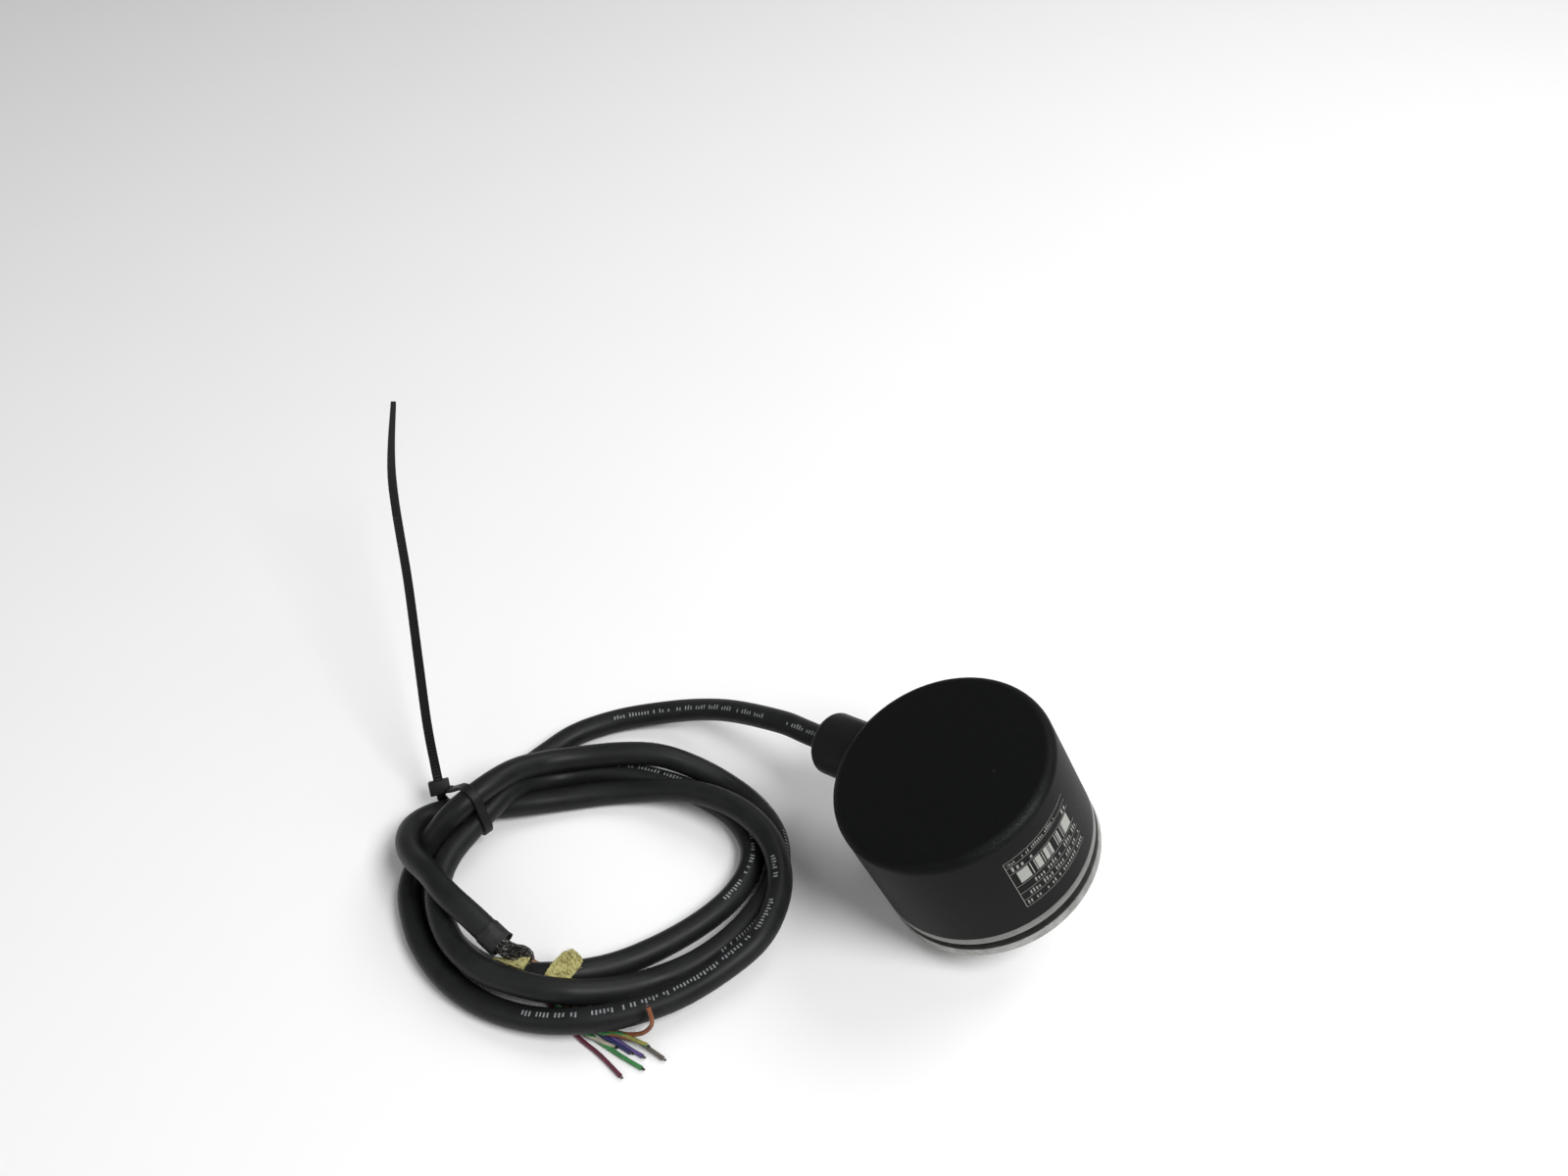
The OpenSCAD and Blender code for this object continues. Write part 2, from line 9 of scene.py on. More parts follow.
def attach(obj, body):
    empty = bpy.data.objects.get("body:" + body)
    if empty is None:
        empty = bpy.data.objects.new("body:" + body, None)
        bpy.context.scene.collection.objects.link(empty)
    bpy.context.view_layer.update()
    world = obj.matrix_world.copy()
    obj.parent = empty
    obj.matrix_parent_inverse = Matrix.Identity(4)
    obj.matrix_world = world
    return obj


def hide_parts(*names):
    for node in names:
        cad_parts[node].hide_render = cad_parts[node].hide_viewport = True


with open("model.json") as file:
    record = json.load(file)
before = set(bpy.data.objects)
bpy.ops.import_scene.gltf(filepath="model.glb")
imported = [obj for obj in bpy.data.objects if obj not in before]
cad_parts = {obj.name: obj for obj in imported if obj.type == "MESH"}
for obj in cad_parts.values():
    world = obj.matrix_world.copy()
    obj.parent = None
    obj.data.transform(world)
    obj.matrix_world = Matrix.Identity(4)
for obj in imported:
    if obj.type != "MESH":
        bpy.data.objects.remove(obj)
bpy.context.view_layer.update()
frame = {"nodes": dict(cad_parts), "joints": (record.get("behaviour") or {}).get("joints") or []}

# ---- how the encoder lies ----
# Not mounted, it lies tipped onto its collar and the end of its shaft. Its pieces are modelled
# upright in millimetres, shaft down, and `stood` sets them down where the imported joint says.
MM = 0.001
shaft_spin = next(joint for joint in frame["joints"] if joint["name"] == "shaft_spin")
shaft_axis = Vector(shaft_spin["axis"])
shaft_foot = Vector(shaft_spin["pos_m"])
lean = math.atan2(-shaft_axis.x, shaft_axis.z)
stood = Matrix.Translation(shaft_foot) @ Matrix.Rotation(-lean, 4, "Y") @ Matrix.Scale(MM, 4)
on_floor = Matrix.Scale(MM, 4)

# ---- flange ----
# Bare aluminium, turned in one piece: centring collar, clamping ring, groove, the band under
# the cap, the spigot that the cap is pressed on, and the tube that both bearings sit in.
collar_r = 25.0
collar_h = 3.0
flange_r = 29.0
ring_top = 3.0
groove_r = 26.5
groove_top = 5.6
cap_z = 8.0
spigot_r = 27.25
spigot_top = 14.0
bearing_r = 9.5
bearing_z = 1.5
tube_r = 12.1
tube_top = 22.0
hole_circle = 21.0
thread_r = 2.0
thread_core = 1.66
thread_pitch = 0.7
aluminium_light = (0.42, 0.42, 0.405, 1)
aluminium_dull = (0.24, 0.24, 0.228, 1)
# dark pits in the cast, and painted shade in the groove
pits_and_groove_shade = (0.030, 0.030, 0.025, 1)
# painted shade for the band under the cap
band_painted_shade = (0.17, 0.17, 0.162, 1)


class Wire:
    """A value inside a finish. Arithmetic on it adds the Math nodes that do it."""

    def __init__(self, finish, socket):
        self.finish = finish
        self.socket = socket

    def math(self, operation, *values):
        return self.finish.node("Math", {"operation": operation}, dict(enumerate(values)))

    def __add__(self, other):
        return self.math("ADD", self, other)

    def __sub__(self, other):
        return self.math("SUBTRACT", self, other)

    def __rsub__(self, other):
        return self.math("SUBTRACT", other, self)

    def __mul__(self, other):
        return self.math("MULTIPLY", self, other)

    def __truediv__(self, other):
        return self.math("DIVIDE", self, other)

    def __pow__(self, other):
        return self.math("POWER", self, other)

    def __gt__(self, other):
        return self.math("GREATER_THAN", self, other)

    def __lt__(self, other):
        return self.math("LESS_THAN", self, other)

    __radd__ = __add__
    __rmul__ = __mul__

    def floor(self):
        return self.math("FLOOR", self)

    def fract(self):
        return self.math("FRACT", self)

    def near(self, centre, width):
        """1 within half of width from centre, else 0"""
        return self.math("ABSOLUTE", self - centre) < width / 2


class Finish:
    """A named material: its shader, and the nodes that vary it over a surface."""

    def __init__(self, name, fixed):
        self.material = bpy.data.materials.new(name)
        self.material.use_nodes = True
        self.tree = self.material.node_tree
        self.shader = self.tree.nodes["Principled BSDF"]
        for socket, value in fixed.items():
            self.shader.inputs[socket].default_value = value

    def node(self, kind, settings, sockets, out=0):
        """adds one node: its settings first, then the values or wires of its sockets"""
        made = self.tree.nodes.new("ShaderNode" + kind)
        for name, value in settings.items():
            if name == "stops":
                ramp = made.color_ramp.elements
                ramp[0].position = value[0][0]
                ramp[1].position = value[-1][0]
                for stop in value[1:-1]:
                    ramp.new(stop[0])
                for element, stop in zip(ramp, value):
                    element.color = stop[1]
            else:
                setattr(made, name, value)
        for name, value in sockets.items():
            if isinstance(value, Wire):
                self.tree.links.new(value.socket, made.inputs[name])
            else:
                made.inputs[name].default_value = value
        return Wire(self, made.outputs[out])

    def set(self, **inputs):
        """feeds wires to the shader's sockets, spelt with _ for a space"""
        for name, wire in inputs.items():
            self.tree.links.new(wire.socket, self.shader.inputs[name.replace("_", " ")])

    def upright(self):
        """where a point is on the upright encoder, in millimetres"""
        here = self.node("TexCoord", {}, {}, "Object")
        back = {"Vector": here, "Location": shaft_foot, "Rotation": (0, -lean, 0), "Scale": (MM, MM, MM)}
        return self.node("Mapping", {"vector_type": "TEXTURE"}, back)

    def lying(self):
        """where a point is in the row's frame, in millimetres"""
        here = self.node("TexCoord", {}, {}, "Object")
        return self.node("Mapping", {}, {"Vector": here, "Scale": (1 / MM, 1 / MM, 1 / MM)})

    def parts(self, vector):
        x = self.node("SeparateXYZ", {}, {0: vector})
        return [Wire(self, socket) for socket in x.socket.node.outputs]

    def vector(self, x, y, z):
        return self.node("CombineXYZ", {}, {0: x, 1: y, 2: z})

    def noise(self, where, scale, detail=2.0, roughness=0.5):
        grain = {"Vector": where, "Scale": scale, "Detail": detail, "Roughness": roughness}
        return self.node("TexNoise", {}, grain)

    def dice(self, number):
        """a different value from 0 to 1 for each whole number"""
        return self.node("TexWhiteNoise", {"noise_dimensions": "1D"}, {"W": number})

    def mix(self, share, one, other):
        return self.node("Mix", {"data_type": "RGBA"}, {0: share, 6: one, 7: other}, 2)

    def ramp(self, value, *stops):
        grey = [(at, (tone, tone, tone, 1)) for at, tone in stops]
        return self.node("ValToRGB", {"stops": grey}, {"Fac": value})

    def bump(self, height, depth, strength=1.0):
        """a height from 0 to 1 as relief, depth millimetres deep"""
        return self.node("Bump", {}, {"Strength": strength, "Distance": depth * MM, "Height": height})


def only(piece):
    """makes a piece the active one and the only one selected"""
    bpy.ops.object.select_all(action="DESELECT")
    piece.select_set(True)
    bpy.context.view_layer.objects.active = piece


def worked(piece, kind, **settings):
    """gives a piece one modifier and applies it"""
    only(piece)
    step = piece.modifiers.new(kind.lower(), kind)
    for name, value in settings.items():
        setattr(step, name, value)
    bpy.ops.object.modifier_apply(modifier=step.name)


def soft_edges(piece, width, segments=2, angle=30):
    worked(piece, "BEVEL", width=width, segments=segments, limit_method="ANGLE",
           angle_limit=math.radians(angle), harden_normals=False)


def arc(centre, radius, start, end, steps):
    """points of (radius, height) round an arc, for a turned outline"""
    turns = [math.radians(start + (end - start) * i / steps) for i in range(steps + 1)]
    return [(centre[0] + radius * math.cos(a), centre[1] + radius * math.sin(a)) for a in turns]


def turned(name, outline, steps=180):
    """turns a closed outline of (radius, height) about the upright axis"""
    bpy.ops.object.select_all(action="DESELECT")
    bpy.ops.mesh.primitive_plane_add(size=1)
    piece = bpy.context.object
    piece.name = name
    bpy.ops.object.mode_set(mode="EDIT")
    bpy.ops.mesh.merge(type="CENTER")
    bpy.ops.transform.translate(value=(outline[0][0], 0, outline[0][1]))
    for here, there in zip(outline, outline[1:] + outline[:1]):
        step = (there[0] - here[0], 0, there[1] - here[1])
        bpy.ops.mesh.extrude_region_move(TRANSFORM_OT_translate={"value": step})
    bpy.ops.mesh.select_all(action="SELECT")
    bpy.ops.mesh.spin(steps=steps, angle=2 * math.pi, center=(0, 0, 0), axis=(0, 0, 1))
    bpy.ops.mesh.select_all(action="SELECT")
    bpy.ops.mesh.remove_doubles(threshold=0.0005)
    bpy.ops.mesh.normals_make_consistent(inside=False)
    bpy.ops.object.mode_set(mode="OBJECT")
    return piece


def set_down(piece, where):
    """puts a piece's place into its mesh"""
    only(piece)
    piece.matrix_world = where
    bpy.ops.object.transform_apply(location=True, rotation=True, scale=True)


def cut(piece, cutter, operation="DIFFERENCE"):
    worked(piece, "BOOLEAN", object=cutter, operation=operation, solver="EXACT")
    bpy.data.objects.remove(cutter)


def fit(piece, finish, replaced=(), body="housing", crease=30):
    """smooths a piece, gives it its finish and its body, and hides the imported parts it replaces"""
    only(piece)
    bpy.ops.object.shade_smooth_by_angle(angle=math.radians(crease))
    piece.data.materials.clear()
    piece.data.materials.append(finish.material)
    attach(piece, body)
    if replaced:
        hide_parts(*replaced)


flange = turned("turned_flange", [
    (6, -collar_h), (collar_r - 0.3, -collar_h), (collar_r, -collar_h + 0.3), (collar_r, -0.5),
    (collar_r - 0.25, -0.35), (collar_r - 0.25, 0), (flange_r - 0.3, 0), (flange_r, 0.3),
    (flange_r, ring_top), (groove_r, ring_top), (groove_r, groove_top), (flange_r, groove_top),
    (flange_r, cap_z), (spigot_r, cap_z), (spigot_r, 10), (spigot_r - 1.5, 10),
    (spigot_r - 1.5, 12.2), (spigot_r, 12.2), (spigot_r, spigot_top), (spigot_r - 2.5, spigot_top),
    (spigot_r - 2.5, cap_z), (tube_r, cap_z), (tube_r, tube_top), (bearing_r, tube_top),
    (bearing_r, 21.4), (bearing_r + 0.9, 21.4), (bearing_r + 0.9, 20.6), (bearing_r, 20.6),
    (bearing_r, bearing_z), (4.4, bearing_z), (4.4, 0.4), (6, 0.4)], steps=240)
soft_edges(flange, 0.16)

# three tapped holes from the machine side, each with a countersink and a drilled point
sink_r = thread_r + 0.35
tap = [(0, -collar_h - 1), (sink_r, -collar_h - 1), (sink_r, -collar_h), (thread_core, -collar_h + 0.6)]
for turn in range(6):
    base = -collar_h + 0.6 + turn * thread_pitch
    tap += [(thread_r, base + thread_pitch / 2), (thread_core, base + thread_pitch)]
tap += [(0, tap[-1][1] + 0.9)]
for turn in range(3):
    drill = turned("drill", tap, steps=32)
    place = Matrix.Rotation(math.radians(60 + 120 * turn), 4, "Z") @ Matrix.Translation((hole_circle, 0, 0))
    set_down(drill, place)
    cut(flange, drill)

# a punched mark on the band and a pit in the edge of the clamping ring
for angle, height, depth in ((-66, 6.7, 0.5), (-65.6, 3.1, 0.35)):
    punch = turned("punch", [(0, -depth), (0.42, 0.1), (0.42, 1.5), (0, 1.5)], steps=24)
    side = Matrix.Rotation(math.radians(angle), 4, "Z") @ Matrix.Rotation(math.radians(90), 4, "Y")
    set_down(punch, Matrix.Translation((0, 0, height)) @ side @ Matrix.Translation((0, 0, flange_r)))
    cut(flange, punch)
set_down(flange, stood)

bare_aluminium = Finish("bare_aluminium", {"Specular IOR Level": 0.3})
spot = bare_aluminium.upright()
x, y, z = bare_aluminium.parts(spot)
radius = (x * x + y * y) ** 0.5
round_it = bare_aluminium.vector(radius * 9 + x * 0.05, y * 0.05, z * 9)
tool_marks = bare_aluminium.noise(round_it, 1.0, 3.0, 0.6)
handling = bare_aluminium.noise(spot, 0.35, 4.0, 0.6)
specks = bare_aluminium.ramp(bare_aluminium.noise(spot, 1.9, 4.0, 0.75), (0.55, 0), (0.68, 1))
in_groove = (radius < flange_r - 0.2) * (z > ring_top - 0.1) * (z < groove_top + 0.1)
clean = bare_aluminium.ramp(handling, (0.3, 0), (0.65, 1))
tone = bare_aluminium.mix(clean, aluminium_dull, aluminium_light)
tone = bare_aluminium.mix(specks * 0.35, tone, pits_and_groove_shade)
# painted shade: the band above the groove, and everything above it, is painted darker
tone = bare_aluminium.mix((z > groove_top) * 0.75, tone, band_painted_shade)
# painted shade: the groove is painted dark, more where the handling noise is high
tone = bare_aluminium.mix(in_groove * (handling * 0.3 + 0.5), tone, pits_and_groove_shade)
bare_aluminium.set(Base_Color=tone, Metallic=1 - in_groove * 0.1,
                   Roughness=tool_marks * 0.16 + handling * 0.12 + 0.22,
                   Normal=bare_aluminium.bump(tool_marks * 0.8 + specks * -0.5, 0.02, 0.7))
fit(flange, bare_aluminium, ["flange"])


def dress(finish, *nodes):
    """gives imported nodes, which keep their own shape, a finish"""
    for name in nodes:
        frame["nodes"][name].material_slots[0].material = finish.material


# ---- bearings ----
# Two deep-groove ball bearings of hardened chrome steel, ground and lapped, with stamped brass
# cages. A spacer pair and a wave spring hold them apart, and a circlip closes the bore.


def round_metal(name, tone, roughness, lines):
    """bare metal with fine marks that go round the shaft"""
    metal = Finish(name, {"Metallic": 1.0})
    spot = metal.upright()
    x, y, z = metal.parts(spot)
    radius = (x * x + y * y) ** 0.5
    marks = metal.noise(metal.vector(radius * lines + x * 0.05, y * 0.05, z * lines), 1.0, 2.0)
    film = metal.noise(spot, 0.6, 3.0)
    dark = tuple(channel * 0.72 for channel in tone) + (1,)
    metal.set(Base_Color=metal.mix(film, dark, tone + (1,)), Roughness=marks * 0.12 + film * 0.1 + roughness,
              Normal=metal.bump(marks, 0.008, 0.6))
    return metal


def plain_metal(name, tone, roughness, grain, depth):
    """bare or plated metal with an even grain"""
    metal = Finish(name, {"Metallic": 1.0})
    spot = metal.upright()
    grains = metal.noise(spot, grain, 3.0, 0.6)
    film = metal.noise(spot, 0.5, 3.0)
    dark = tuple(channel * 0.7 for channel in tone) + (1,)
    metal.set(Base_Color=metal.mix(film, dark, tone + (1,)), Roughness=grains * 0.15 + film * 0.1 + roughness,
              Normal=metal.bump(grains, depth, 0.6))
    return metal


ground_steel = round_metal("ground_steel", (0.60, 0.60, 0.61), 0.14, 14)
dress(ground_steel, "front_outer_race", "front_inner_race", "rear_outer_race", "rear_inner_race",
      "inner_spacer")
dress(plain_metal("lapped_balls", (0.72, 0.72, 0.73), 0.03, 1.2, 0.001), "front_balls", "rear_balls")
stamped_brass = plain_metal("stamped_brass", (0.66, 0.47, 0.19), 0.26, 3.0, 0.01)
dress(stamped_brass, "front_cage", "rear_cage")
turned_aluminium = round_metal("turned_aluminium", (0.62, 0.62, 0.61), 0.22, 9)
dress(turned_aluminium, "outer_spacer", "disk_clamp")
spring_steel = plain_metal("spring_steel", (0.34, 0.34, 0.36), 0.3, 4.0, 0.01)
dress(spring_steel, "wave_spring", "bore_circlip", "crimp_sleeve")

# ---- shaft ----
# Ground stainless steel, 6 mm where it stands out for the coupling and a little thicker inside.
# Its free end has a chamfer and the centre hole that it was ground on.
shaft_r = 3.0
seat_r = 3.2
shaft_tip = -13.0
shaft_top = 30.0
shaft = turned("ground_shaft", [
    (0, shaft_tip + 1.6), (0.5, shaft_tip + 1.3), (0.5, shaft_tip + 0.9), (1.1, shaft_tip),
    (shaft_r - 0.35, shaft_tip), (shaft_r, shaft_tip + 0.35), (shaft_r, -collar_h + 0.1),
    (seat_r, -collar_h + 0.3), (seat_r, shaft_top - 0.4), (seat_r - 0.4, shaft_top), (0, shaft_top)],
    steps=96)
soft_edges(shaft, 0.05)
set_down(shaft, stood)
fit(shaft, ground_steel, ["shaft"], body="rotor")

# ---- shaft seal and O-ring ----
# Nitrile rubber, moulded: a dust lip pressed into the collar round the shaft, and the ring in
# the spigot's groove that the cap slides over.


def rubber(name, tone, roughness, grain):
    """moulded rubber with a faint bloom"""
    black = Finish(name, {"Specular IOR Level": 0.35})
    spot = black.upright()
    bloom = black.noise(spot, 0.4, 4.0, 0.6)
    skin = black.noise(spot, grain, 3.0)
    pale = tuple(channel * 2.2 + 0.01 for channel in tone) + (1,)
    black.set(Base_Color=black.mix(black.ramp(bloom, (0.45, 0), (0.8, 1)), tone + (1,), pale),
              Roughness=bloom * 0.2 + roughness, Normal=black.bump(skin, 0.02, 0.5))
    return black


dress(rubber("seal_rubber", (0.018, 0.018, 0.018), 0.5, 5), "cap_o_ring", "shaft_seal", "outlet_grommet")

# ---- code disk ----
# A brass hub on the shaft, held by two set screws, carries a glass disk with chrome tracks: the
# fine ring of lines, and one reference mark inside it. An aluminium ring clamps the glass.
line_count = 250
fine_track = (15.2, 17.6)
mark_track = (12.4, 14.4)
chrome = (0.55, 0.56, 0.58, 1)
dress(round_metal("turned_brass", (0.70, 0.50, 0.20), 0.2, 8), "disk_hub", "board_posts")
dress(plain_metal("black_oxide", (0.06, 0.06, 0.065), 0.35, 4.0, 0.01), "hub_screws")
coded_glass = Finish("coded_glass", {"Base Color": (0.93, 0.97, 0.97, 1), "Roughness": 0.02, "IOR": 1.52,
                                     "Transmission Weight": 1.0})
spot = coded_glass.upright()
x, y, z = coded_glass.parts(spot)
radius = (x * x + y * y) ** 0.5
turn = x.math("ARCTAN2", y, x) * (1 / (2 * math.pi))
fine = ((turn * line_count).fract() > 0.5) * (radius > fine_track[0]) * (radius < fine_track[1])
mark = (turn.near(0.2, 0.01) + turn.near(0.224, 0.004)) * (radius > mark_track[0]) * (radius < mark_track[1])
plated = coded_glass.node("BsdfPrincipled", {}, {"Base Color": chrome, "Metallic": 1.0, "Roughness": 0.12})
glass = Wire(coded_glass, coded_glass.shader.outputs[0])
tracks = coded_glass.node("MixShader", {}, {0: fine + mark, 1: glass, 2: plated})
coded_glass.tree.links.new(tracks.socket, coded_glass.tree.nodes["Material Output"].inputs[0])
dress(coded_glass, "code_disk", "reticle")

# ---- light source and scanning parts ----
# A moulded block holds the lamp and its condenser lens under the disk. Over the disk a frame
# holds the scanning reticle, and the light sensor looks through it from the board.


def moulded(name, tone, roughness, grain, depth, specular=0.5):
    """moulded plastic with the mould's fine texture"""
    plastic = Finish(name, {"Specular IOR Level": specular})
    spot = plastic.upright()
    texture = plastic.noise(spot, grain, 2.0)
    flow = plastic.noise(spot, 0.3, 2.0)
    dark = tuple(channel * 0.8 for channel in tone) + (1,)
    plastic.set(Base_Color=plastic.mix(flow, dark, tone + (1,)),
                Roughness=texture * 0.1 + flow * 0.1 + roughness,
                Normal=plastic.bump(texture, depth, 0.6))
    return plastic


dress(moulded("holder_plastic", (0.035, 0.035, 0.038), 0.45, 4, 0.02), "lamp_holder", "reticle_frame")
dress(moulded("chip_epoxy", (0.02, 0.02, 0.022), 0.5, 7, 0.015), "photo_sensor", "chips")
zinc_plate = plain_metal("zinc_plate", (0.62, 0.61, 0.58), 0.28, 3.0, 0.01)
dress(zinc_plate, "holder_screws", "board_screws", "outlet_nut")
for node, name, tint, clear in (
        ("condenser_lens", "lens_glass", (0.95, 0.98, 0.98, 1), 1.0),
        ("lamp", "lamp_resin", (0.85, 0.55, 0.50, 1), 0.7)):
    glassy = Finish(name, {"Base Color": tint, "IOR": 1.5, "Transmission Weight": clear})
    haze = glassy.noise(glassy.upright(), 0.8, 3.0)
    glassy.set(Roughness=haze * 0.08 + 0.01)
    dress(glassy, node)

# ---- circuit board ----
# Glass-fibre board under green solder mask, on three brass posts, with its chips, small parts
# with tinned ends, and the nylon plug and socket of the cable's leads.
mask_green = (0.008, 0.075, 0.032, 1)
trace_green = (0.02, 0.16, 0.07, 1)
bare_pad = (0.55, 0.50, 0.38, 1)
track_grid = 1.27
green_board = Finish("green_board", {"Coat Weight": 0.5, "Coat Roughness": 0.15})
x, y, z = green_board.parts(green_board.upright())
lane = (y / track_grid + 0.5).floor()
used = green_board.dice(lane * 7.3 + (x / 6).floor()) > 0.45
trace = (y / track_grid).fract().near(0.5, 0.28) * used
via = ((x / track_grid / 2).fract().near(0.5, 0.22) * (y / track_grid / 2).fract().near(0.5, 0.22)
       * (green_board.dice((x / track_grid / 2).floor() * 13 + (y / track_grid / 2).floor()) > 0.7))
face = green_board.mix(trace, mask_green, trace_green)
green_board.set(Base_Color=green_board.mix(via, face, bare_pad), Metallic=via * 0.9,
                Roughness=0.3 + trace * 0.05, Normal=green_board.bump(trace, 0.02, 0.4))
dress(green_board, "board")
dress(plain_metal("tinned_ends", (0.60, 0.57, 0.50), 0.3, 3.0, 0.02), "board_smalls")
dress(moulded("connector_nylon", (0.70, 0.66, 0.54), 0.4, 4, 0.01), "board_socket", "board_plug")

# ---- cap ----
# Deep-drawn and coated matt black, pressed over the flange's spigot. Its top edge is rounded,
# with fine scratch lines and a painted highlight streak on its front right, and a plain panel of
# lines, bars and dashes is engraved pale into its wall.
cap_top = 40.2
cap_edge = 2.7
cap_inside = 27.3
outlet_angle = 140.0
outlet_height = 29.4
cap_coat = (0.0046, 0.0051, 0.0049, 1)
coat_dust = (0.012, 0.0128, 0.0124, 1)
engraved = (0.42, 0.43, 0.40, 1)
# the lighter grey of the rim's painted highlight
rim_highlight_grey = (0.055, 0.057, 0.060, 1)
panel_angle = -45.6
panel_half = 11.6
panel_foot = 13.8
panel_head = 32.4
bar_foot = 22.9
bar_head = 27.2
bar_end = 3.2
bar_in = 3.4
bar_width = 0.24
line_width = 0.13
# where the rim's painted highlight lies: in from the wall's edge, its middle along the wall, and its half
# length
highlight_in = 1.1
highlight_at = -4.0
highlight_half = 17.0
fleck_x = 13.4
fleck_y = -5.6

cap = turned("drawn_cap", [(cap_inside, cap_z), (flange_r, cap_z)]
             + arc((flange_r - cap_edge, cap_top - cap_edge), cap_edge, 0, 90, 10)
             + [(0, cap_top), (0, cap_top - 2), (cap_inside - 1, cap_top - 2), (cap_inside, cap_top - 3)],
             steps=240)
to_outlet = (Matrix.Translation((0, 0, outlet_height)) @ Matrix.Rotation(math.radians(outlet_angle), 4, "Z")
             @ Matrix.Rotation(math.radians(90), 4, "Y"))
punch = turned("punch", [(0, 20), (5.6, 20), (5.6, 32), (0, 32)], steps=48)
set_down(punch, to_outlet)
cut(cap, punch)
set_down(cap, stood)

black_coat = Finish("black_coat", {"Specular IOR Level": 0.08})
spot = black_coat.upright()
x, y, z = black_coat.parts(spot)
radius = (x * x + y * y) ** 0.5
turn = x.math("ARCTAN2", y, x) * (180 / math.pi)
across = (turn - panel_angle) * math.radians(flange_r)
on_wall = radius > flange_r - 0.1
peel = black_coat.noise(spot, 2.6, 3.0, 0.55)
fine_grain = black_coat.noise(spot, 9.0, 2.0)
dust = black_coat.ramp(black_coat.noise(spot, 1.1, 5.0, 0.7), (0.52, 0), (0.78, 1))
rub_lines = black_coat.noise(black_coat.vector(x * 4, y * 4, z * 4 + radius * 3), 1.0, 5.0, 0.75)
# painted highlight: a streak on the inner part of the rounded edge, at the front right, broken into fine
# scratch lines
off_rim = radius.math("ABSOLUTE", radius - (flange_r - highlight_in)) * 0.5
off_highlight = across.math("ABSOLUTE", across - highlight_at) / highlight_half
rim = black_coat.ramp(off_rim, (0.2, 1), (0.75, 0)) * black_coat.ramp(off_highlight, (0.4, 1), (1, 0))
rim = rim * (z > cap_top - cap_edge)
scratched_rim_highlight = black_coat.ramp(rub_lines, (0.46, 0), (0.64, 1)) * rim


def dashes(finish, along, up, foot, tall, pitch, seed):
    """a row of plain upright dashes in word-like groups"""
    place = along / pitch + seed
    shown = (finish.dice(place.floor()) > 0.2) * (finish.dice((place / 7).floor() + 0.5) > 0.12)
    height = finish.dice(place.floor() + 0.3) * 0.45 + 0.55
    return shown * place.fract().near(0.5, 0.46) * (up > foot) * (up < foot + height * tall)


frame_lines = (across + panel_half).near(0, 0.16) * (z > panel_foot) * (z < panel_head)
inside = across.near(0, 2 * panel_half)
for height in (panel_head, 30.3, bar_head + 0.5, bar_foot - 0.6, 19.4, 16.6, panel_foot):
    frame_lines = frame_lines + z.near(height, line_width) * inside
ends = (across + panel_half - bar_in).near(0, bar_end) + (across - panel_half + bar_in).near(0, bar_end)
between = across.near(0, 2 * panel_half - 10.4)
bars = between * (black_coat.dice((across / bar_width + 90).floor()) > 0.52)
strip = (ends + bars) * (z > bar_foot) * (z < bar_head)
rows = dashes(black_coat, across, z, 30.8, 1.1, 0.62, 11)
for foot, tall, pitch, seed in (
        (28.2, 1.7, 1.35, 23), (20.0, 1.7, 0.85, 37), (17.2, 1.6, 0.85, 53), (14.5, 1.5, 0.85, 71)):
    rows = rows + dashes(black_coat, across, z, foot, tall, pitch, seed)
marks = (frame_lines * 0.75 + strip + rows * inside * across.near(0, 2 * panel_half - 1.6) * 0.8) * on_wall
marks = marks.math("MINIMUM", marks, 1.0) * (fine_grain * 0.5 + 0.6)
coat = black_coat.mix(dust * 0.35, cap_coat, coat_dust)
# painted highlight: the rim streak is mixed lighter grey into the coat
coat = black_coat.mix(scratched_rim_highlight * 0.5, coat, rim_highlight_grey)
fleck = x.near(fleck_x, 0.3) * y.near(fleck_y, 0.2) * (z > cap_top - 0.1)
coat = black_coat.mix(fleck * 0.25, coat, engraved)
black_coat.set(Base_Color=black_coat.mix(marks, coat, engraved),
               Roughness=peel * 0.12 + dust * 0.1 + 0.42 - scratched_rim_highlight * 0.12,
               Normal=black_coat.bump(peel * 0.8 + fine_grain * 0.35 - marks * 0.4, 0.02, 0.5))
fit(cap, black_coat, ["cap"])

# ---- cable outlet ----
# A moulded outlet with a rounded nose, held from inside by a nut on its threaded neck. A thin
# saddle seal shows where it meets the round cap.
outlet_r = 8.5
outlet_nose = 43.0
nose_round = 2.2
seal_proud = 0.3
cable_r = 3.25
outlet = turned("moulded_outlet", [(4.4, 26), (outlet_r, 26)]
                + arc((outlet_r - nose_round, outlet_nose - nose_round), nose_round, 0, 90, 8)
                + [(cable_r + 0.55, outlet_nose), (cable_r + 0.05, outlet_nose - 0.6),
                   (cable_r + 0.05, 40), (4.4, 40)], steps=120)
set_down(outlet, to_outlet)
cut(outlet, turned("cap_side", [(0, 0), (flange_r, 0), (flange_r, 60), (0, 60)], steps=240))
seal_in = flange_r - 0.02
seal_out = flange_r + seal_proud
seal = turned("saddle", [(seal_in, 10), (seal_out, 10), (seal_out, 48), (seal_in, 48)], steps=240)
edge_r = outlet_r + seal_proud
edge = turned("saddle_edge", [(4.4, 22), (edge_r, 22), (edge_r, 34), (4.4, 34)], steps=120)
set_down(edge, to_outlet)
cut(seal, edge, "INTERSECT")
cut(outlet, seal, "UNION")
neck = turned("neck", [(4.4, 23.4), (5.5, 23.4), (5.5, 29.4), (4.4, 29.4)], steps=48)
set_down(neck, to_outlet)
cut(outlet, neck, "UNION")
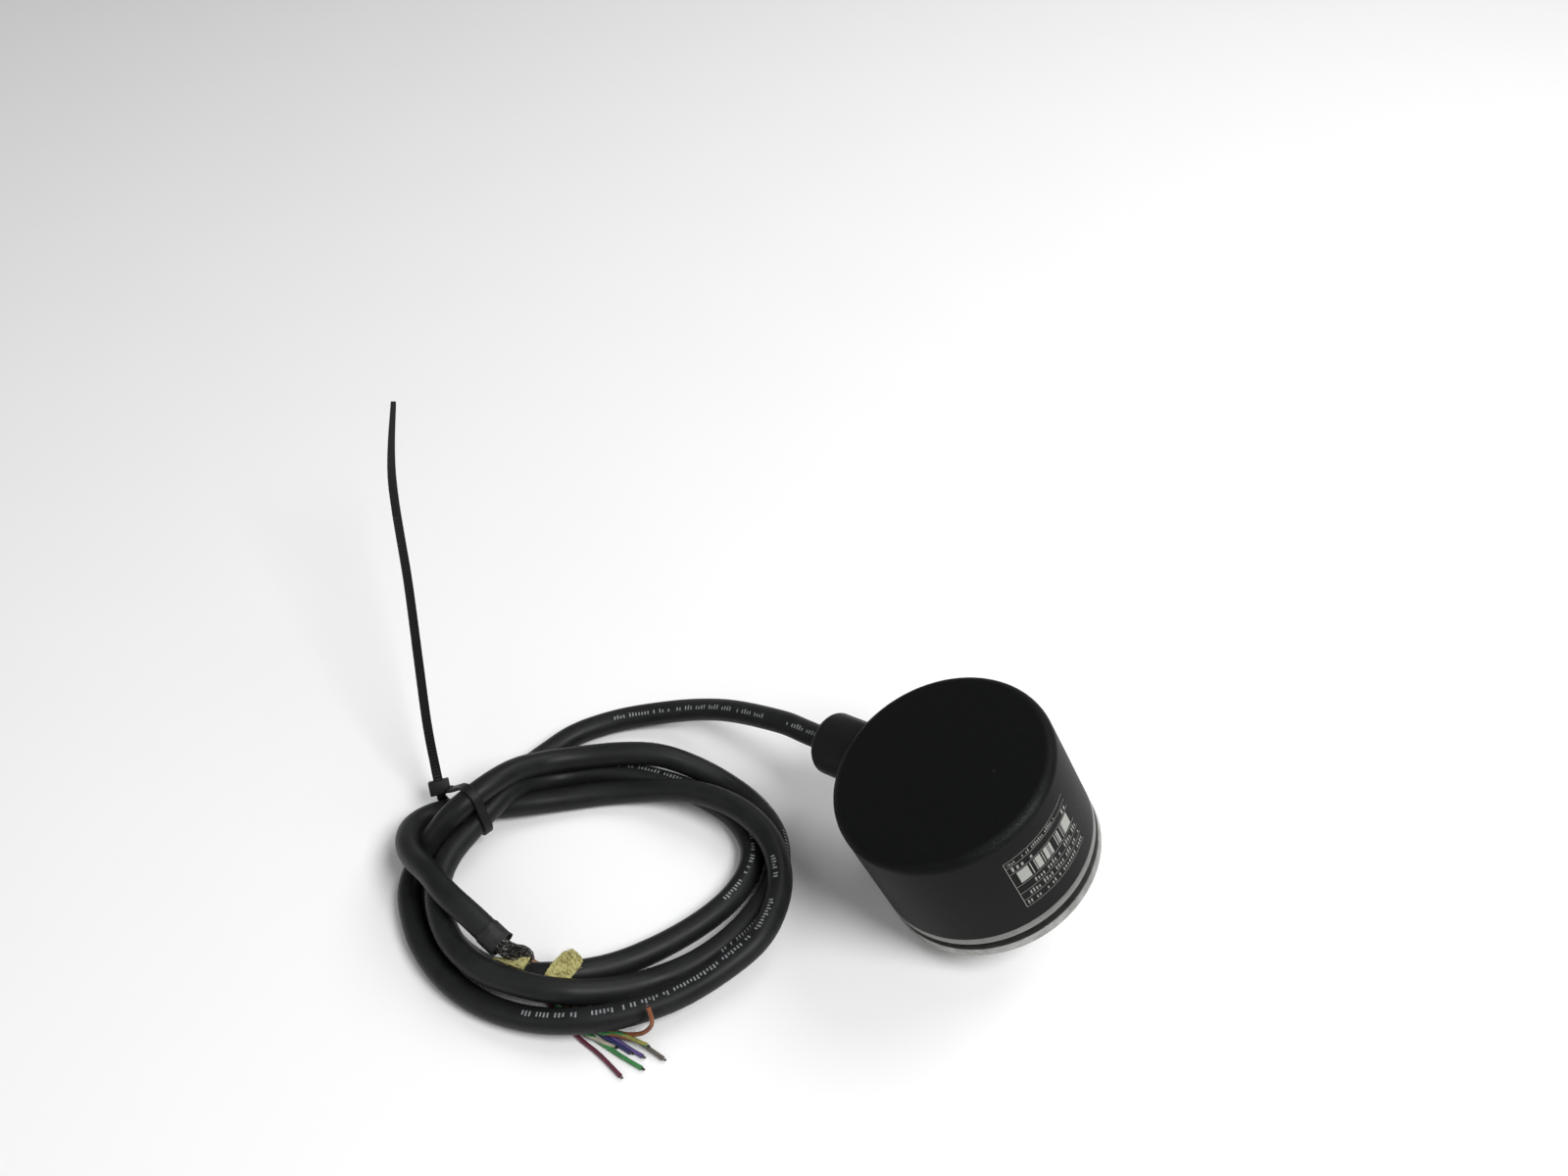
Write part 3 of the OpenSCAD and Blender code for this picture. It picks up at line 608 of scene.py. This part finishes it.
soft_edges(outlet, 0.12, 2, 40)
set_down(outlet, stood)
outlet_black = moulded("outlet_black", (0.0075, 0.0079, 0.0077), 0.4, 3.2, 0.02, 0.18)
fit(outlet, outlet_black, ["outlet"])

# ---- cable ----
# 6.5 mm polyurethane jacket, satin black, with a pale legend of dashes every 240 mm or so. It
# leaves the outlet, lies in three turns held by the tie, and turns back over them to its cut end.
cable_step = 1.5
cable_sides = 28
legend_starts = (-6.0, 248.0, 480.0, 706.0)
legend_length = 88.0
jacket_black = (0.0085, 0.0090, 0.0094, 1)
jacket_dust = (0.022, 0.023, 0.0235, 1)
legend_grey = (0.26, 0.27, 0.28, 1)
lay = [
    (-58, 47, 13.5), (-69, 52, 8.5), (-81, 53.5, 5), (-93, 52, 3.4), (-104, 47, 3.3),
    (-112, 39.5, 3.4), (-118, 31.5, 5.4), (-124.5, 24.5, 8.6), (-129.4, 17.4, 10.4),
    (-133, 9.5, 7.2), (-135.5, 2, 3.6), (-136, -7, 3.3), (-133, -16, 3.3), (-127, -24, 3.3),
    (-118, -30, 3.5), (-108, -33, 5.6), (-97, -33, 6.2), (-87, -29.5, 4), (-76.4, -24.1, 3.3),
    (-65.8, -16.9, 3.3), (-57.9, -9.2, 3.3), (-53.1, -0.7, 3.3), (-52.5, 8, 3.3), (-57, 17, 3.3),
    (-64, 23, 3.3), (-73, 28, 3.3), (-85, 32, 3.3), (-97, 33, 3.3), (-107, 31, 3.5),
    (-114.5, 27, 6.4), (-119, 21.5, 10.3), (-122.8, 15.8, 10.6), (-128, 8, 9.8), (-132, 0, 9.8),
    (-133.5, -9, 9.8), (-131.5, -18, 9.8), (-126.5, -27, 9.8), (-118.5, -34, 9.8),
    (-108, -38, 9.5), (-97, -39.5, 8.6), (-86, -37, 5.4), (-76, -33, 3.3), (-65, -27.5, 3.3),
    (-55, -18.5, 3.3), (-48, -8, 3.3), (-45.3, 2, 3.3), (-46.5, 12, 3.3), (-52, 21.5, 3.3),
    (-60, 28.5, 4), (-69, 32.5, 6.5), (-79, 34.5, 9.2), (-90, 34.5, 9.8), (-101, 33, 9.9),
    (-110, 30, 11.6), (-116.5, 25, 15), (-121.5, 19.5, 17), (-127, 13.5, 17.2),
    (-132, 9, 15.4), (-137, 5.5, 10), (-141, 1, 5), (-142.5, -6, 3.3), (-140, -15, 3.3),
    (-135.5, -24, 3.3), (-128, -33, 3.3), (-118, -40, 3.3), (-106, -44.5, 4.4),
    (-94, -46, 6.2), (-82, -44, 6.2), (-70, -39.5, 6.6), (-59, -33, 8.3), (-50, -25, 9.8),
    (-45.5, -14, 9.8), (-45, -4, 9.8), (-48, 6, 9.8), (-55, 14.5, 9.8), (-64, 20, 9.4),
    (-73, 23.5, 7.5), (-83, 25.5, 4.6), (-94, 25.5, 3.3), (-105, 23.5, 3.4), (-116, 21, 4.4),
    (-126, 19.7, 4.4), (-134, 19.3, 4.3), (-140.5, 17.5, 4.2), (-144.3, 12, 6.3),
    (-144, 4.5, 9.5), (-140.5, -2.5, 12.2), (-135, -9, 15), (-129, -16.5, 16.5),
    (-122, -22.5, 15.6), (-115, -28, 13)]
legend_turn = [
    (0, 60), (20, 54), (50, 60), (85, 72), (220, 90), (250, 97), (340, 100), (470, 140),
    (575, 140), (690, 97), (706, 97), (740, 88), (770, 76), (800, 64), (900, 90)]
out_of_nose = Matrix.Scale(1 / MM, 4) @ stood @ to_outlet
route = [out_of_nose @ Vector((0, 0, outlet_nose + ahead)) for ahead in (0, 9, 18.5)]
route += [Vector(point) for point in lay]


def between_points(points, at):
    """a smooth curve through the points, at a place counted in points"""
    i = min(int(at), len(points) - 2)
    t = at - i
    a, b, c, d = (points[min(max(i + k, 0), len(points) - 1)] for k in (-1, 0, 1, 2))
    return 0.5 * (2 * b + (c - a) * t + (2 * a - 5 * b + 4 * c - d) * t * t
                  + (3 * b - a - 3 * c + d) * t * t * t)


def even_line(points, step, ease=2):
    """a smooth line through the points with a point every step millimetres"""
    fine = [between_points(points, i / 16) for i in range(16 * (len(points) - 1) + 1)]
    run = [0.0]
    for here, there in zip(fine, fine[1:]):
        run.append(run[-1] + (there - here).length)
    count = max(2, round(run[-1] / step))
    line, i = [], 0
    for k in range(count + 1):
        want = run[-1] * k / count
        while i < len(fine) - 2 and run[i + 1] < want:
            i += 1
        line.append(fine[i].lerp(fine[i + 1], (want - run[i]) / max(run[i + 1] - run[i], 1e-9)))
    for _ in range(ease):
        line = [line[0]] + [(a + 2 * b + c) / 4 for a, b, c in zip(line, line[1:], line[2:])] + [line[-1]]
    return line


def length_of(line):
    return sum((there - here).length for here, there in zip(line, line[1:]))


def mesh_piece(name, corners, faces):
    """a new piece of the given corners and faces"""
    mesh = bpy.data.meshes.new(name)
    mesh.from_pydata([tuple(corner) for corner in corners], [], faces)
    mesh.update()
    piece = bpy.data.objects.new(name, mesh)
    bpy.context.scene.collection.objects.link(piece)
    return piece


def rings(line):
    """where each ring of a sweep is, which way it runs, and its level and upward sides"""
    for i, centre in enumerate(line):
        run = (line[min(i + 1, len(line) - 1)] - line[max(i - 1, 0)]).normalized()
        level = Vector((0, 0, 1)).cross(run).normalized()
        yield centre, run, level, run.cross(level)


def swept_tube(name, line, radius, sides, turn=lambda run: 0.0):
    """a round tube along a line, radius and turn being rules of the distance run. Its own map
    holds how far along and how far round each corner is, counted from the turned side."""
    corners, runs, run = [], [], 0.0
    for i, (centre, _, level, upward) in enumerate(rings(line)):
        run += (centre - line[i - 1]).length if i else 0
        runs.append(run)
        for k in range(sides):
            angle = 2 * math.pi * k / sides
            outward = math.cos(angle) * level + math.sin(angle) * upward
            corners.append(centre + radius(run, angle) * outward)
    faces = []
    for i in range(len(line) - 1):
        for k in range(sides):
            a, b = i * sides + k, i * sides + (k + 1) % sides
            faces.append((a, b, b + sides, a + sides))
    last = (len(line) - 1) * sides
    faces.append(tuple(range(sides - 1, -1, -1)))
    faces.append(tuple(range(last, last + sides)))
    piece = mesh_piece(name, corners, faces)
    tube_map = piece.data.uv_layers.new(name="tube_map").data
    for face in piece.data.polygons[:-2]:
        first = face.vertices[0] % sides
        for loop, (ring, step) in zip(face.loop_indices, ((0, 0), (0, 1), (1, 1), (1, 0))):
            here = runs[face.vertices[0] // sides + ring]
            tube_map[loop].uv = (here / run, (first + step) / sides - turn(here) / 360)
    return piece


def legend_side(run):
    """which way the legend faces, in degrees from the tube's level side"""
    for (start, a), (end, b) in zip(legend_turn, legend_turn[1:]):
        if run <= end:
            share = (run - start) / (end - start)
            return a + (b - a) * share * share * (3 - 2 * share)
    return legend_turn[-1][1]


def jacket_r(run, angle):
    """the jacket is never quite round: it shows the twist of the cores inside"""
    lay_of_cores = math.cos(2 * angle + run / 9) * 0.035
    around = Vector((run / 14, math.cos(angle), math.sin(angle)))
    return cable_r + lay_of_cores + 0.05 * noise.noise(around)


line = even_line(route, cable_step)
cable_length = length_of(line)
cable = swept_tube("cable_jacket", line, jacket_r, cable_sides, legend_side)
set_down(cable, on_floor)

jacket = Finish("jacket", {"Specular IOR Level": 0.21})
spot = jacket.lying()
u, v, _ = jacket.parts(jacket.node("UVMap", {"uv_map": "tube_map"}, {}))
run = u * cable_length
off_line = ((v + 0.5).fract() - 0.5) * (2 * math.pi * cable_r)
in_legend = run < legend_starts[0] + legend_length
for start in legend_starts[1:]:
    in_legend = in_legend + (run - start).near(legend_length / 2, legend_length)
legend = dashes(jacket, run, off_line, -0.7, 1.4, 0.95, 5) * in_legend
worn = jacket.noise(spot, 1.6, 3.0, 0.6)
cloudy = jacket.noise(spot, 0.09, 4.0, 0.65)
skin = jacket.noise(spot, 3.4, 3.0, 0.6)
creases = jacket.noise(jacket.vector(run * 0.55, off_line * 0.12, 0.0), 1.0, 2.0)
chalk = jacket.ramp(cloudy, (0.38, 0), (0.75, 1))
coat = jacket.mix(chalk * 0.55, jacket_black, jacket_dust)
jacket.set(Base_Color=jacket.mix(legend * jacket.ramp(worn, (0.3, 0.35), (0.5, 1)), coat, legend_grey),
           Roughness=chalk * 0.14 + skin * 0.12 + 0.36,
           Normal=jacket.bump(skin * 0.35 + creases * 0.65, 0.06, 0.6))
fit(cable, jacket, ["cable"], crease=60)
dress(jacket, "cable_entry")

# ---- collar on the cut jacket ----
# A few millimetres of black shrink sleeve round the end of the jacket, a little ragged where
# it was trimmed. The shield comes out of it.
collar_back = 4.0
collar_ahead = 1.6
sleeve_r = 3.55
cut_end = route[-1]
cut_way = (route[-1] - route[-2]).normalized()
sleeve_end = cut_end + collar_ahead * cut_way
sleeve_line = even_line([cut_end - collar_back * cut_way, cut_end, sleeve_end], 0.4, 0)
sleeve_length = length_of(sleeve_line)


def sleeve_radius(run, angle):
    """gripping the jacket behind, open and uneven at the front"""
    front = max(0.0, (run - 4.4) / (sleeve_length - 4.4))
    return sleeve_r + 0.1 * math.sin(3 * angle + 1) * front - 0.12 * (run < 0.3) + 0.12 * front


sleeve = swept_tube("shrink_sleeve", sleeve_line, sleeve_radius, 32)
only(sleeve)
bpy.ops.object.mode_set(mode="EDIT")
bpy.ops.mesh.select_all(action="DESELECT")
bpy.ops.object.mode_set(mode="OBJECT")
sleeve.data.polygons[-1].select = True
bpy.ops.object.mode_set(mode="EDIT")
bpy.ops.mesh.inset(thickness=0.7)
bpy.ops.transform.translate(value=tuple(-1.4 * cut_way))
bpy.ops.object.mode_set(mode="OBJECT")
soft_edges(sleeve, 0.1, 2, 40)
set_down(sleeve, on_floor)
shrink_black = rubber("shrink_black", (0.009, 0.009, 0.009), 0.42, 3)
fit(sleeve, shrink_black, ["jacket_collar"], crease=50)

# ---- shield braid ----
# Tinned copper wires, braided both ways over the cores, pushed together and frayed where the
# cores leave it. A dark foil shows between the wires.
braid_r = 2.0
braid_wires = 22
wire_r = 0.09
wire_dark = (0.035, 0.034, 0.031, 1)
wire_glint_grey = (0.70, 0.69, 0.65, 1)
braid_down = [Vector((-110.8, -29, 9.4)), Vector((-109.7, -27.8, 7)), Vector((-109, -27.3, 4.6))]
braid_points = [sleeve_end - 1.2 * cut_way, sleeve_end + cut_way] + braid_down
braid_line = even_line(braid_points, 0.3)
braid_rings = list(rings(braid_line))
foil = swept_tube("foil", braid_line, lambda run, angle: braid_r - 0.35 + 0.1 * math.sin(run * 1.7), 20)
random.seed(4)


def joined(name, pieces):
    """joins loose pieces into the first one"""
    bpy.ops.object.select_all(action="DESELECT")
    for piece in pieces:
        piece.select_set(True)
    bpy.context.view_layer.objects.active = pieces[0]
    bpy.ops.object.join()
    pieces[0].name = name
    return pieces[0]


wires = []
for way in (-1, 1):
    for wire in range(braid_wires):
        start = 2 * math.pi * wire / braid_wires
        loose = random.uniform(0, 0.25)
        track = []
        for i, (centre, _, level, upward) in enumerate(braid_rings):
            angle = start + way * i * 0.105
            end = max(0.0, i / (len(braid_rings) - 1) - 0.8) * 5
            height = braid_r + way * 0.07 * math.cos(angle * braid_wires / 2) + 0.35 * loose * end * end
            track.append(centre + height * (math.cos(angle) * level + math.sin(angle) * upward))
        wires.append(swept_tube("wire", track, lambda run, angle: wire_r, 5))
braid = joined("shield_braid", wires)
set_down(braid, on_floor)
tinned = Finish("tinned_copper", {"Metallic": 1.0, "Roughness": 0.35})
glints = tinned.noise(tinned.lying(), 1.5, 4.0, 0.85)
shine = tinned.ramp(glints, (0.52, 0), (0.64, 1))
# painted glints: bright specks of the noise are mixed pale into the wires' base colour
tinned.set(Base_Color=tinned.mix(shine, wire_dark, wire_glint_grey), Normal=tinned.bump(glints, 0.05, 0.6))
fit(braid, tinned, ["braid"], crease=80)
foil.name = "shield_foil"
set_down(foil, on_floor)
fit(foil, rubber("dark_foil", (0.008, 0.008, 0.009), 0.5, 2), crease=60)

# ---- fleece ----
# The yellow fleece tape from under the shield, torn off: one pointed scrap lies beside the
# shield, the other stands folded over the inner turn. Loose fibres stand out of both.
fleece_tone = (0.17, 0.145, 0.035, 1)
fleece_pale = (0.56, 0.52, 0.22, 1)
fleece_thick = 0.3
fibre_r = 0.035
fibre_count = 150
scrap_rows = 26
scrap_face = Vector((0.1, -0.5, 0.85))
scraps = {
    "fleece_point": [
        ((-116, -30.2, 8.9), (-116, -30.5, 8.9)), ((-112, -30.2, 9.0), (-112, -32.4, 9.3)),
        ((-107, -30.3, 9.2), (-108.3, -33.9, 9.4))],
    "fleece_fold": [
        ((-103.2, -36.3, 9.4), (-96.6, -36.3, 8.9)), ((-101.6, -33.4, 10.7), (-93.6, -32.3, 10.8)),
        ((-98.2, -31, 13.1), (-95.9, -30.6, 13.5))]}
fleece = Finish("fleece", {"Roughness": 0.9, "Sheen Weight": 0.3, "Sheen Roughness": 0.5,
                           "Specular IOR Level": 0.2})
spot = fleece.lying()
tangle = fleece.noise(spot, 1.3, 4.0, 0.7)
x, y, z = fleece.parts(spot)
threads = fleece.noise(fleece.vector(x * 4 + z * 2, y * 0.9, z * 1.2), 1.0, 3.0, 0.7)
fluff = fleece.ramp(tangle * 0.5 + threads * 0.5, (0.40, 0), (0.56, 1))
fleece.set(Base_Color=fleece.mix(fluff, fleece_tone, fleece_pale),
           Normal=fleece.bump(threads + tangle, 0.25, 0.8))
random.seed(11)
noise.seed_set(11)
for name, ends in scraps.items():
    left, right = ([Vector(pair[side]) for pair in ends] for side in (0, 1))
    corners = []
    for i in range(scrap_rows):
        at = i / (scrap_rows - 1) * (len(ends) - 1)
        one, other = between_points(left, at), between_points(right, at)
        for k in range(scrap_rows):
            across = k / (scrap_rows - 1)
            edge = k in (0, scrap_rows - 1) or i in (0, scrap_rows - 1)
            ragged = 0.3 * noise.noise_vector(Vector((i * 0.6, k * 0.6, 7))) if edge else Vector()
            folds = 0.5 * noise.noise(Vector((i * 0.14, across * 3.6, len(name))))
            folds += 0.1 * noise.noise(Vector((i, k, 3)))
            corners.append(one.lerp(other, across) + ragged + scrap_face * folds)
    cells = [i * scrap_rows + k for i in range(scrap_rows - 1) for k in range(scrap_rows - 1)]
    faces = [(cell, cell + 1, cell + scrap_rows + 1, cell + scrap_rows) for cell in cells]
    scrap = mesh_piece(name, corners, faces)
    worked(scrap, "SOLIDIFY", thickness=fleece_thick, offset=0)
    worked(scrap, "SUBSURF", levels=1, render_levels=1)
    fibres = [scrap]
    for _ in range(fibre_count):
        root = Vector(random.choice(corners))
        way = Vector((random.uniform(-1, 1), random.uniform(-1, 1), random.uniform(-0.6, 1))).normalized()
        bend = Vector((random.uniform(-1, 1), random.uniform(-1, 1), random.uniform(-1, 1))) * 0.35
        long = random.uniform(0.5, 1.5)
        track = [root - way * long / 2, root + bend * 0.5, root + way * long / 2 + bend]
        fibres.append(swept_tube("fibre", track, lambda run, angle: fibre_r, 3))
    scrap = joined(name, fibres)
    set_down(scrap, on_floor)
    fit(scrap, fleece, ["fleece"] if name == "fleece_point" else (), crease=80)

# ---- leads ----
# Nine stranded leads in PVC of their own colours. They come out of the shield, pass under the
# turns of the cable, and end cut, with a little bare tinned strand.
lead_r = 0.55
core_r = 0.3
strip = 0.8
lead_colours = {
    "maroon": (0.110, 0.016, 0.034), "green": (0.040, 0.230, 0.060), "blue": (0.020, 0.024, 0.110),
    "violet": (0.115, 0.075, 0.230), "white": (0.400, 0.370, 0.290), "brown": (0.180, 0.065, 0.025),
    "yellow": (0.270, 0.260, 0.060), "grey": (0.105, 0.092, 0.075), "orange": (0.270, 0.082, 0.025)}
striped = ("white", "brown", "yellow")
stripe_green = (0.030, 0.170, 0.050, 1)
lead_tracks = [
    [(-107, -32.5, 0.7), (-96, -45.5, 0.7), (-88.5, -52, 0.7), (-83, -57.5, 0.7)],
    [(-105.6, -32, 0.7), (-92.5, -45.5, 0.7), (-84.5, -51.5, 0.7), (-78, -55.5, 0.7)],
    [(-104.2, -31.7, 0.7), (-90.6, -45, 0.7), (-85, -48.8, 0.7), (-81, -51.4, 0.7)],
    [(-102.8, -31.5, 0.7), (-88.8, -44.8, 0.7), (-82.5, -49.6, 0.7), (-78, -52.4, 0.7)],
    [(-106.3, -32.2, 1.9), (-94.2, -45.3, 1.9), (-89, -48.4, 1.2), (-85, -50, 0.8)],
    [(-104.9, -32, 1.9), (-91.6, -45.2, 1.9), (-85, -47.4, 2), (-79.5, -49, 2)],
    [(-103.5, -31.7, 1.9), (-89.7, -44.9, 1.9), (-82.5, -47.8, 2.2), (-77, -50.4, 2.4)],
    [(-102.1, -31.4, 1.9), (-87.4, -44.6, 1.9), (-79.5, -48.8, 1.5), (-73, -53, 0.8)],
    [(-101.3, -31.2, 0.7), (-87.1, -44.5, 0.7), (-79.6, -48, 3.4), (-75.6, -48.6, 9), (-76.4, -46, 12.6)]]
leads = []
cores = []
for i, ((colour, tone), track) in enumerate(zip(lead_colours.items(), lead_tracks)):
    fan = math.radians(40 * i)
    start = Vector((-108.8 + 1.45 * math.cos(fan), -27.4 + 1.45 * math.sin(fan), 4.5))
    second = Vector((-108.2 + 0.7 * i, -28.3 - 0.1 * i, 1.4 if i < 4 or i == 8 else 2.6))
    line = even_line([start, second] + [Vector(point) for point in track], 0.5)
    way = (line[-1] - line[-2]).normalized()
    lead = swept_tube("lead_" + colour, line, lambda run, angle: lead_r, 14)
    core_line = [line[-1] - way * 0.4, line[-1] + way * strip / 2, line[-1] + way * strip]
    cores.append(swept_tube("core", core_line, lambda run, angle: core_r - 0.06 * (run > 1), 10))
    set_down(lead, on_floor)
    pvc = Finish("pvc_" + colour, {"Specular IOR Level": 0.5})
    smudge = pvc.noise(pvc.lying(), 0.35, 4.0, 0.6)
    grain = pvc.noise(pvc.lying(), 4.0, 2.0)
    dirty = tuple(channel * 0.55 + 0.01 for channel in tone) + (1,)
    coat = pvc.mix(pvc.ramp(smudge, (0.4, 0), (0.7, 1)), tone + (1,), dirty)
    if colour in striped:
        along, round_it, _ = pvc.parts(pvc.node("UVMap", {"uv_map": "tube_map"}, {}))
        coat = pvc.mix((round_it + along * 4).fract().near(0.5, 0.3), coat, stripe_green)
    pvc.set(Base_Color=coat, Roughness=smudge * 0.15 + 0.3, Normal=pvc.bump(grain, 0.015, 0.5))
    fit(lead, pvc, ["conductors"] if i == 0 else (), crease=60)
    leads.append((lead, line))
core_piece = joined("lead_cores", cores)
set_down(core_piece, on_floor)
fit(core_piece, tinned, crease=50)

# ---- cable tie ----
# One moulding of black nylon: a 2.5 mm strap with teeth on its inner side, pulled round the
# turns through its head, its long tail standing up and away.
tie_width = 2.5
tie_thick = 1.0
tooth_pitch = 0.9
head_at = Vector((-138.9, 23.9, 8.3))
head_up = Vector((-0.203, 0.664, 0.719))
loop_start = Vector((-128.1, 13.9, 0))
loop_way = Vector((-0.707, 0.707, 0))
loop_side = Vector((0.707, 0.707, 0))
tail_side = Vector((0.956, 0.292, 0))
out_of_head = [(-136.4, 23.9, 7.6), (-134.4, 20.7, 11.4)]
loop = [
    (5.2, 16), (2, 19.4), (-0.8, 20.85), (-3.4, 20.05), (-4.6, 18.3), (-5.8, 15), (-7.1, 11.5),
    (-7.1, 8.9), (-5.5, 6.7), (-2.4, 5.1), (0.6, 3.6), (3.5, 2.15), (6.3, 0.9), (8.3, 0.55),
    (10.6, 0.6), (12.4, 0.9)]
tail = [
    (-138.2, 23.5, 2.4), (-138.6, 23.3, 4.2), (-138.6, 22.5, 5.4), head_at - 2.2 * head_up,
    head_at, head_at + 2.2 * head_up, head_at + 5 * head_up, (-142.5, 36.5, 20.4),
    (-146, 52, 30.4), (-150.5, 71.5, 41), (-158, 100.6, 55), (-158.9, 120, 68)]
strap_points = [Vector(point) for point in out_of_head]
strap_points += [loop_start + loop_way * along + Vector((0, 0, height)) for along, height in loop]
strap_points += [Vector(point) for point in tail]
strap_line = even_line(strap_points, tooth_pitch / 2, 1)
strap_length = length_of(strap_line)
turn_over = 62.0
kink_to_tip = 24.0
corners = []
faces = []
section_size = 10
for i, centre in enumerate(strap_line):
    run = strap_length * i / (len(strap_line) - 1)
    way = (strap_line[min(i + 1, len(strap_line) - 1)] - strap_line[max(i - 1, 0)]).normalized()
    share = min(max((run - turn_over) / 14, 0), 1)
    side = loop_side.lerp(tail_side, share)
    side = (side - side.dot(way) * way).normalized()
    up = way.cross(side)
    taper = 1 - 0.4 * min(max((run - strap_length + kink_to_tip) / kink_to_tip, 0), 1)
    half = tie_width / 2 * taper
    thick = tie_thick / 2
    tooth = thick - (0.32 if i % 2 else 0.08) * (run < strap_length - 1.5 * kink_to_tip)
    rail = half - 0.45
    section = [
        (half, thick - 0.2), (half - 0.2, thick), (-half + 0.2, thick), (-half, thick - 0.2),
        (-half, -thick + 0.2), (-half + 0.2, -thick), (-rail, -tooth), (rail, -tooth),
        (half - 0.2, -thick), (half, -thick + 0.2)]
    corners += [centre + side * out + up * above for out, above in section]
    if i:
        for k in range(section_size):
            a, b = (i - 1) * section_size + k, (i - 1) * section_size + (k + 1) % section_size
            faces.append((a, b, b + section_size, a + section_size))
last = len(corners) - section_size
faces.append(tuple(range(section_size - 1, -1, -1)))
faces.append(tuple(range(last, last + section_size)))
strap = mesh_piece("tie_strap_toothed", corners, faces)
only(strap)
bpy.ops.object.mode_set(mode="EDIT")
bpy.ops.mesh.select_all(action="SELECT")
bpy.ops.mesh.normals_make_consistent(inside=False)
bpy.ops.object.mode_set(mode="OBJECT")
set_down(strap, on_floor)
tie_nylon = moulded("tie_nylon", (0.0065, 0.0065, 0.007), 0.42, 2.0, 0.015, 0.26)
fit(strap, tie_nylon, ["tie_strap"], crease=25)


def block(name, middle, sizes):
    """a plain box, to be worked on"""
    bpy.ops.object.select_all(action="DESELECT")
    bpy.ops.mesh.primitive_cube_add(size=1, location=middle, scale=sizes)
    piece = bpy.context.object
    piece.name = name
    set_down(piece, piece.matrix_world)
    return piece


head = block("tie_head_moulded", (0, 0.1, 0), (5.6, 4, 4))
soft_edges(head, 0.35, 3)
cut(head, block("strap_slot", (0, 0, 0), (3, 1.6, 9)))
cut(head, block("pawl_window", (0, 1.35, 1.9), (2.4, 0.9, 1.2)))
soft_edges(head, 0.08, 2, 50)
set_down(head, on_floor @ Matrix.Translation(head_at) @ Matrix.Rotation(math.radians(17), 4, "Z")
         @ Matrix.Rotation(math.radians(-44), 4, "X"))
fit(head, tie_nylon, ["tie_head"])

tuple(route[0] * MM)
[tuple(point * MM) for point in even_line(route, 3)]
for lead, line in leads:
    tuple(line[0] * MM)
    length_of(line) * MM
    [tuple(point * MM) for point in line]

# ---- floor, light and camera ----
# A plain white table in soft light: a large window-like panel from the right and the front,
# weaker ones from the left and from behind, and even light from all round.
bpy.ops.object.select_all(action="DESELECT")
bpy.ops.mesh.primitive_plane_add(size=8)
floor = bpy.context.object
floor.name = "floor"
table_white = Finish("table_white", {"Roughness": 0.7, "Specular IOR Level": 0.1})
mottle = table_white.noise(table_white.lying(), 0.02, 2.0)
table_white.set(Base_Color=table_white.mix(mottle, (0.96, 0.96, 0.96, 1), (0.98, 0.98, 0.98, 1)))
floor.data.materials.append(table_white.material)

for name, place, size, power in (
        ("panel_right", (0.44, -0.36, 0.86), 0.5, 8.0),
        ("panel_left", (-0.65, -0.55, 0.6), 0.7, 1.2),
        ("panel_back", (0.45, 0.5, 0.8), 0.7, 3.6)):
    bpy.ops.object.light_add(type="AREA", location=place)
    lamp = bpy.context.object
    lamp.name = name
    lamp.data.shape = "DISK"
    lamp.data.size = size
    lamp.data.energy = power
    aim = Vector((-0.04, 0, 0.02)) - Vector(place)
    lamp.rotation_euler = aim.to_track_quat("-Z", "Y").to_euler()

surround = bpy.data.worlds.new("surround")
surround.use_nodes = True
surround.node_tree.nodes["Background"].inputs["Color"].default_value = (1, 1, 1, 1)
surround.node_tree.nodes["Background"].inputs["Strength"].default_value = 0.25
bpy.context.scene.world = surround
bpy.context.scene.view_settings.view_transform = "Standard"

camera_pitch = 44.19
camera_at = (-0.0438, -0.2288, 0.3306)
bpy.ops.object.camera_add(location=camera_at, rotation=(math.radians(90 - camera_pitch), 0, 0))
camera = bpy.context.object
camera.data.sensor_width = 36
camera.data.lens = 33.75
camera.data.clip_start = 0.01
bpy.context.scene.camera = camera
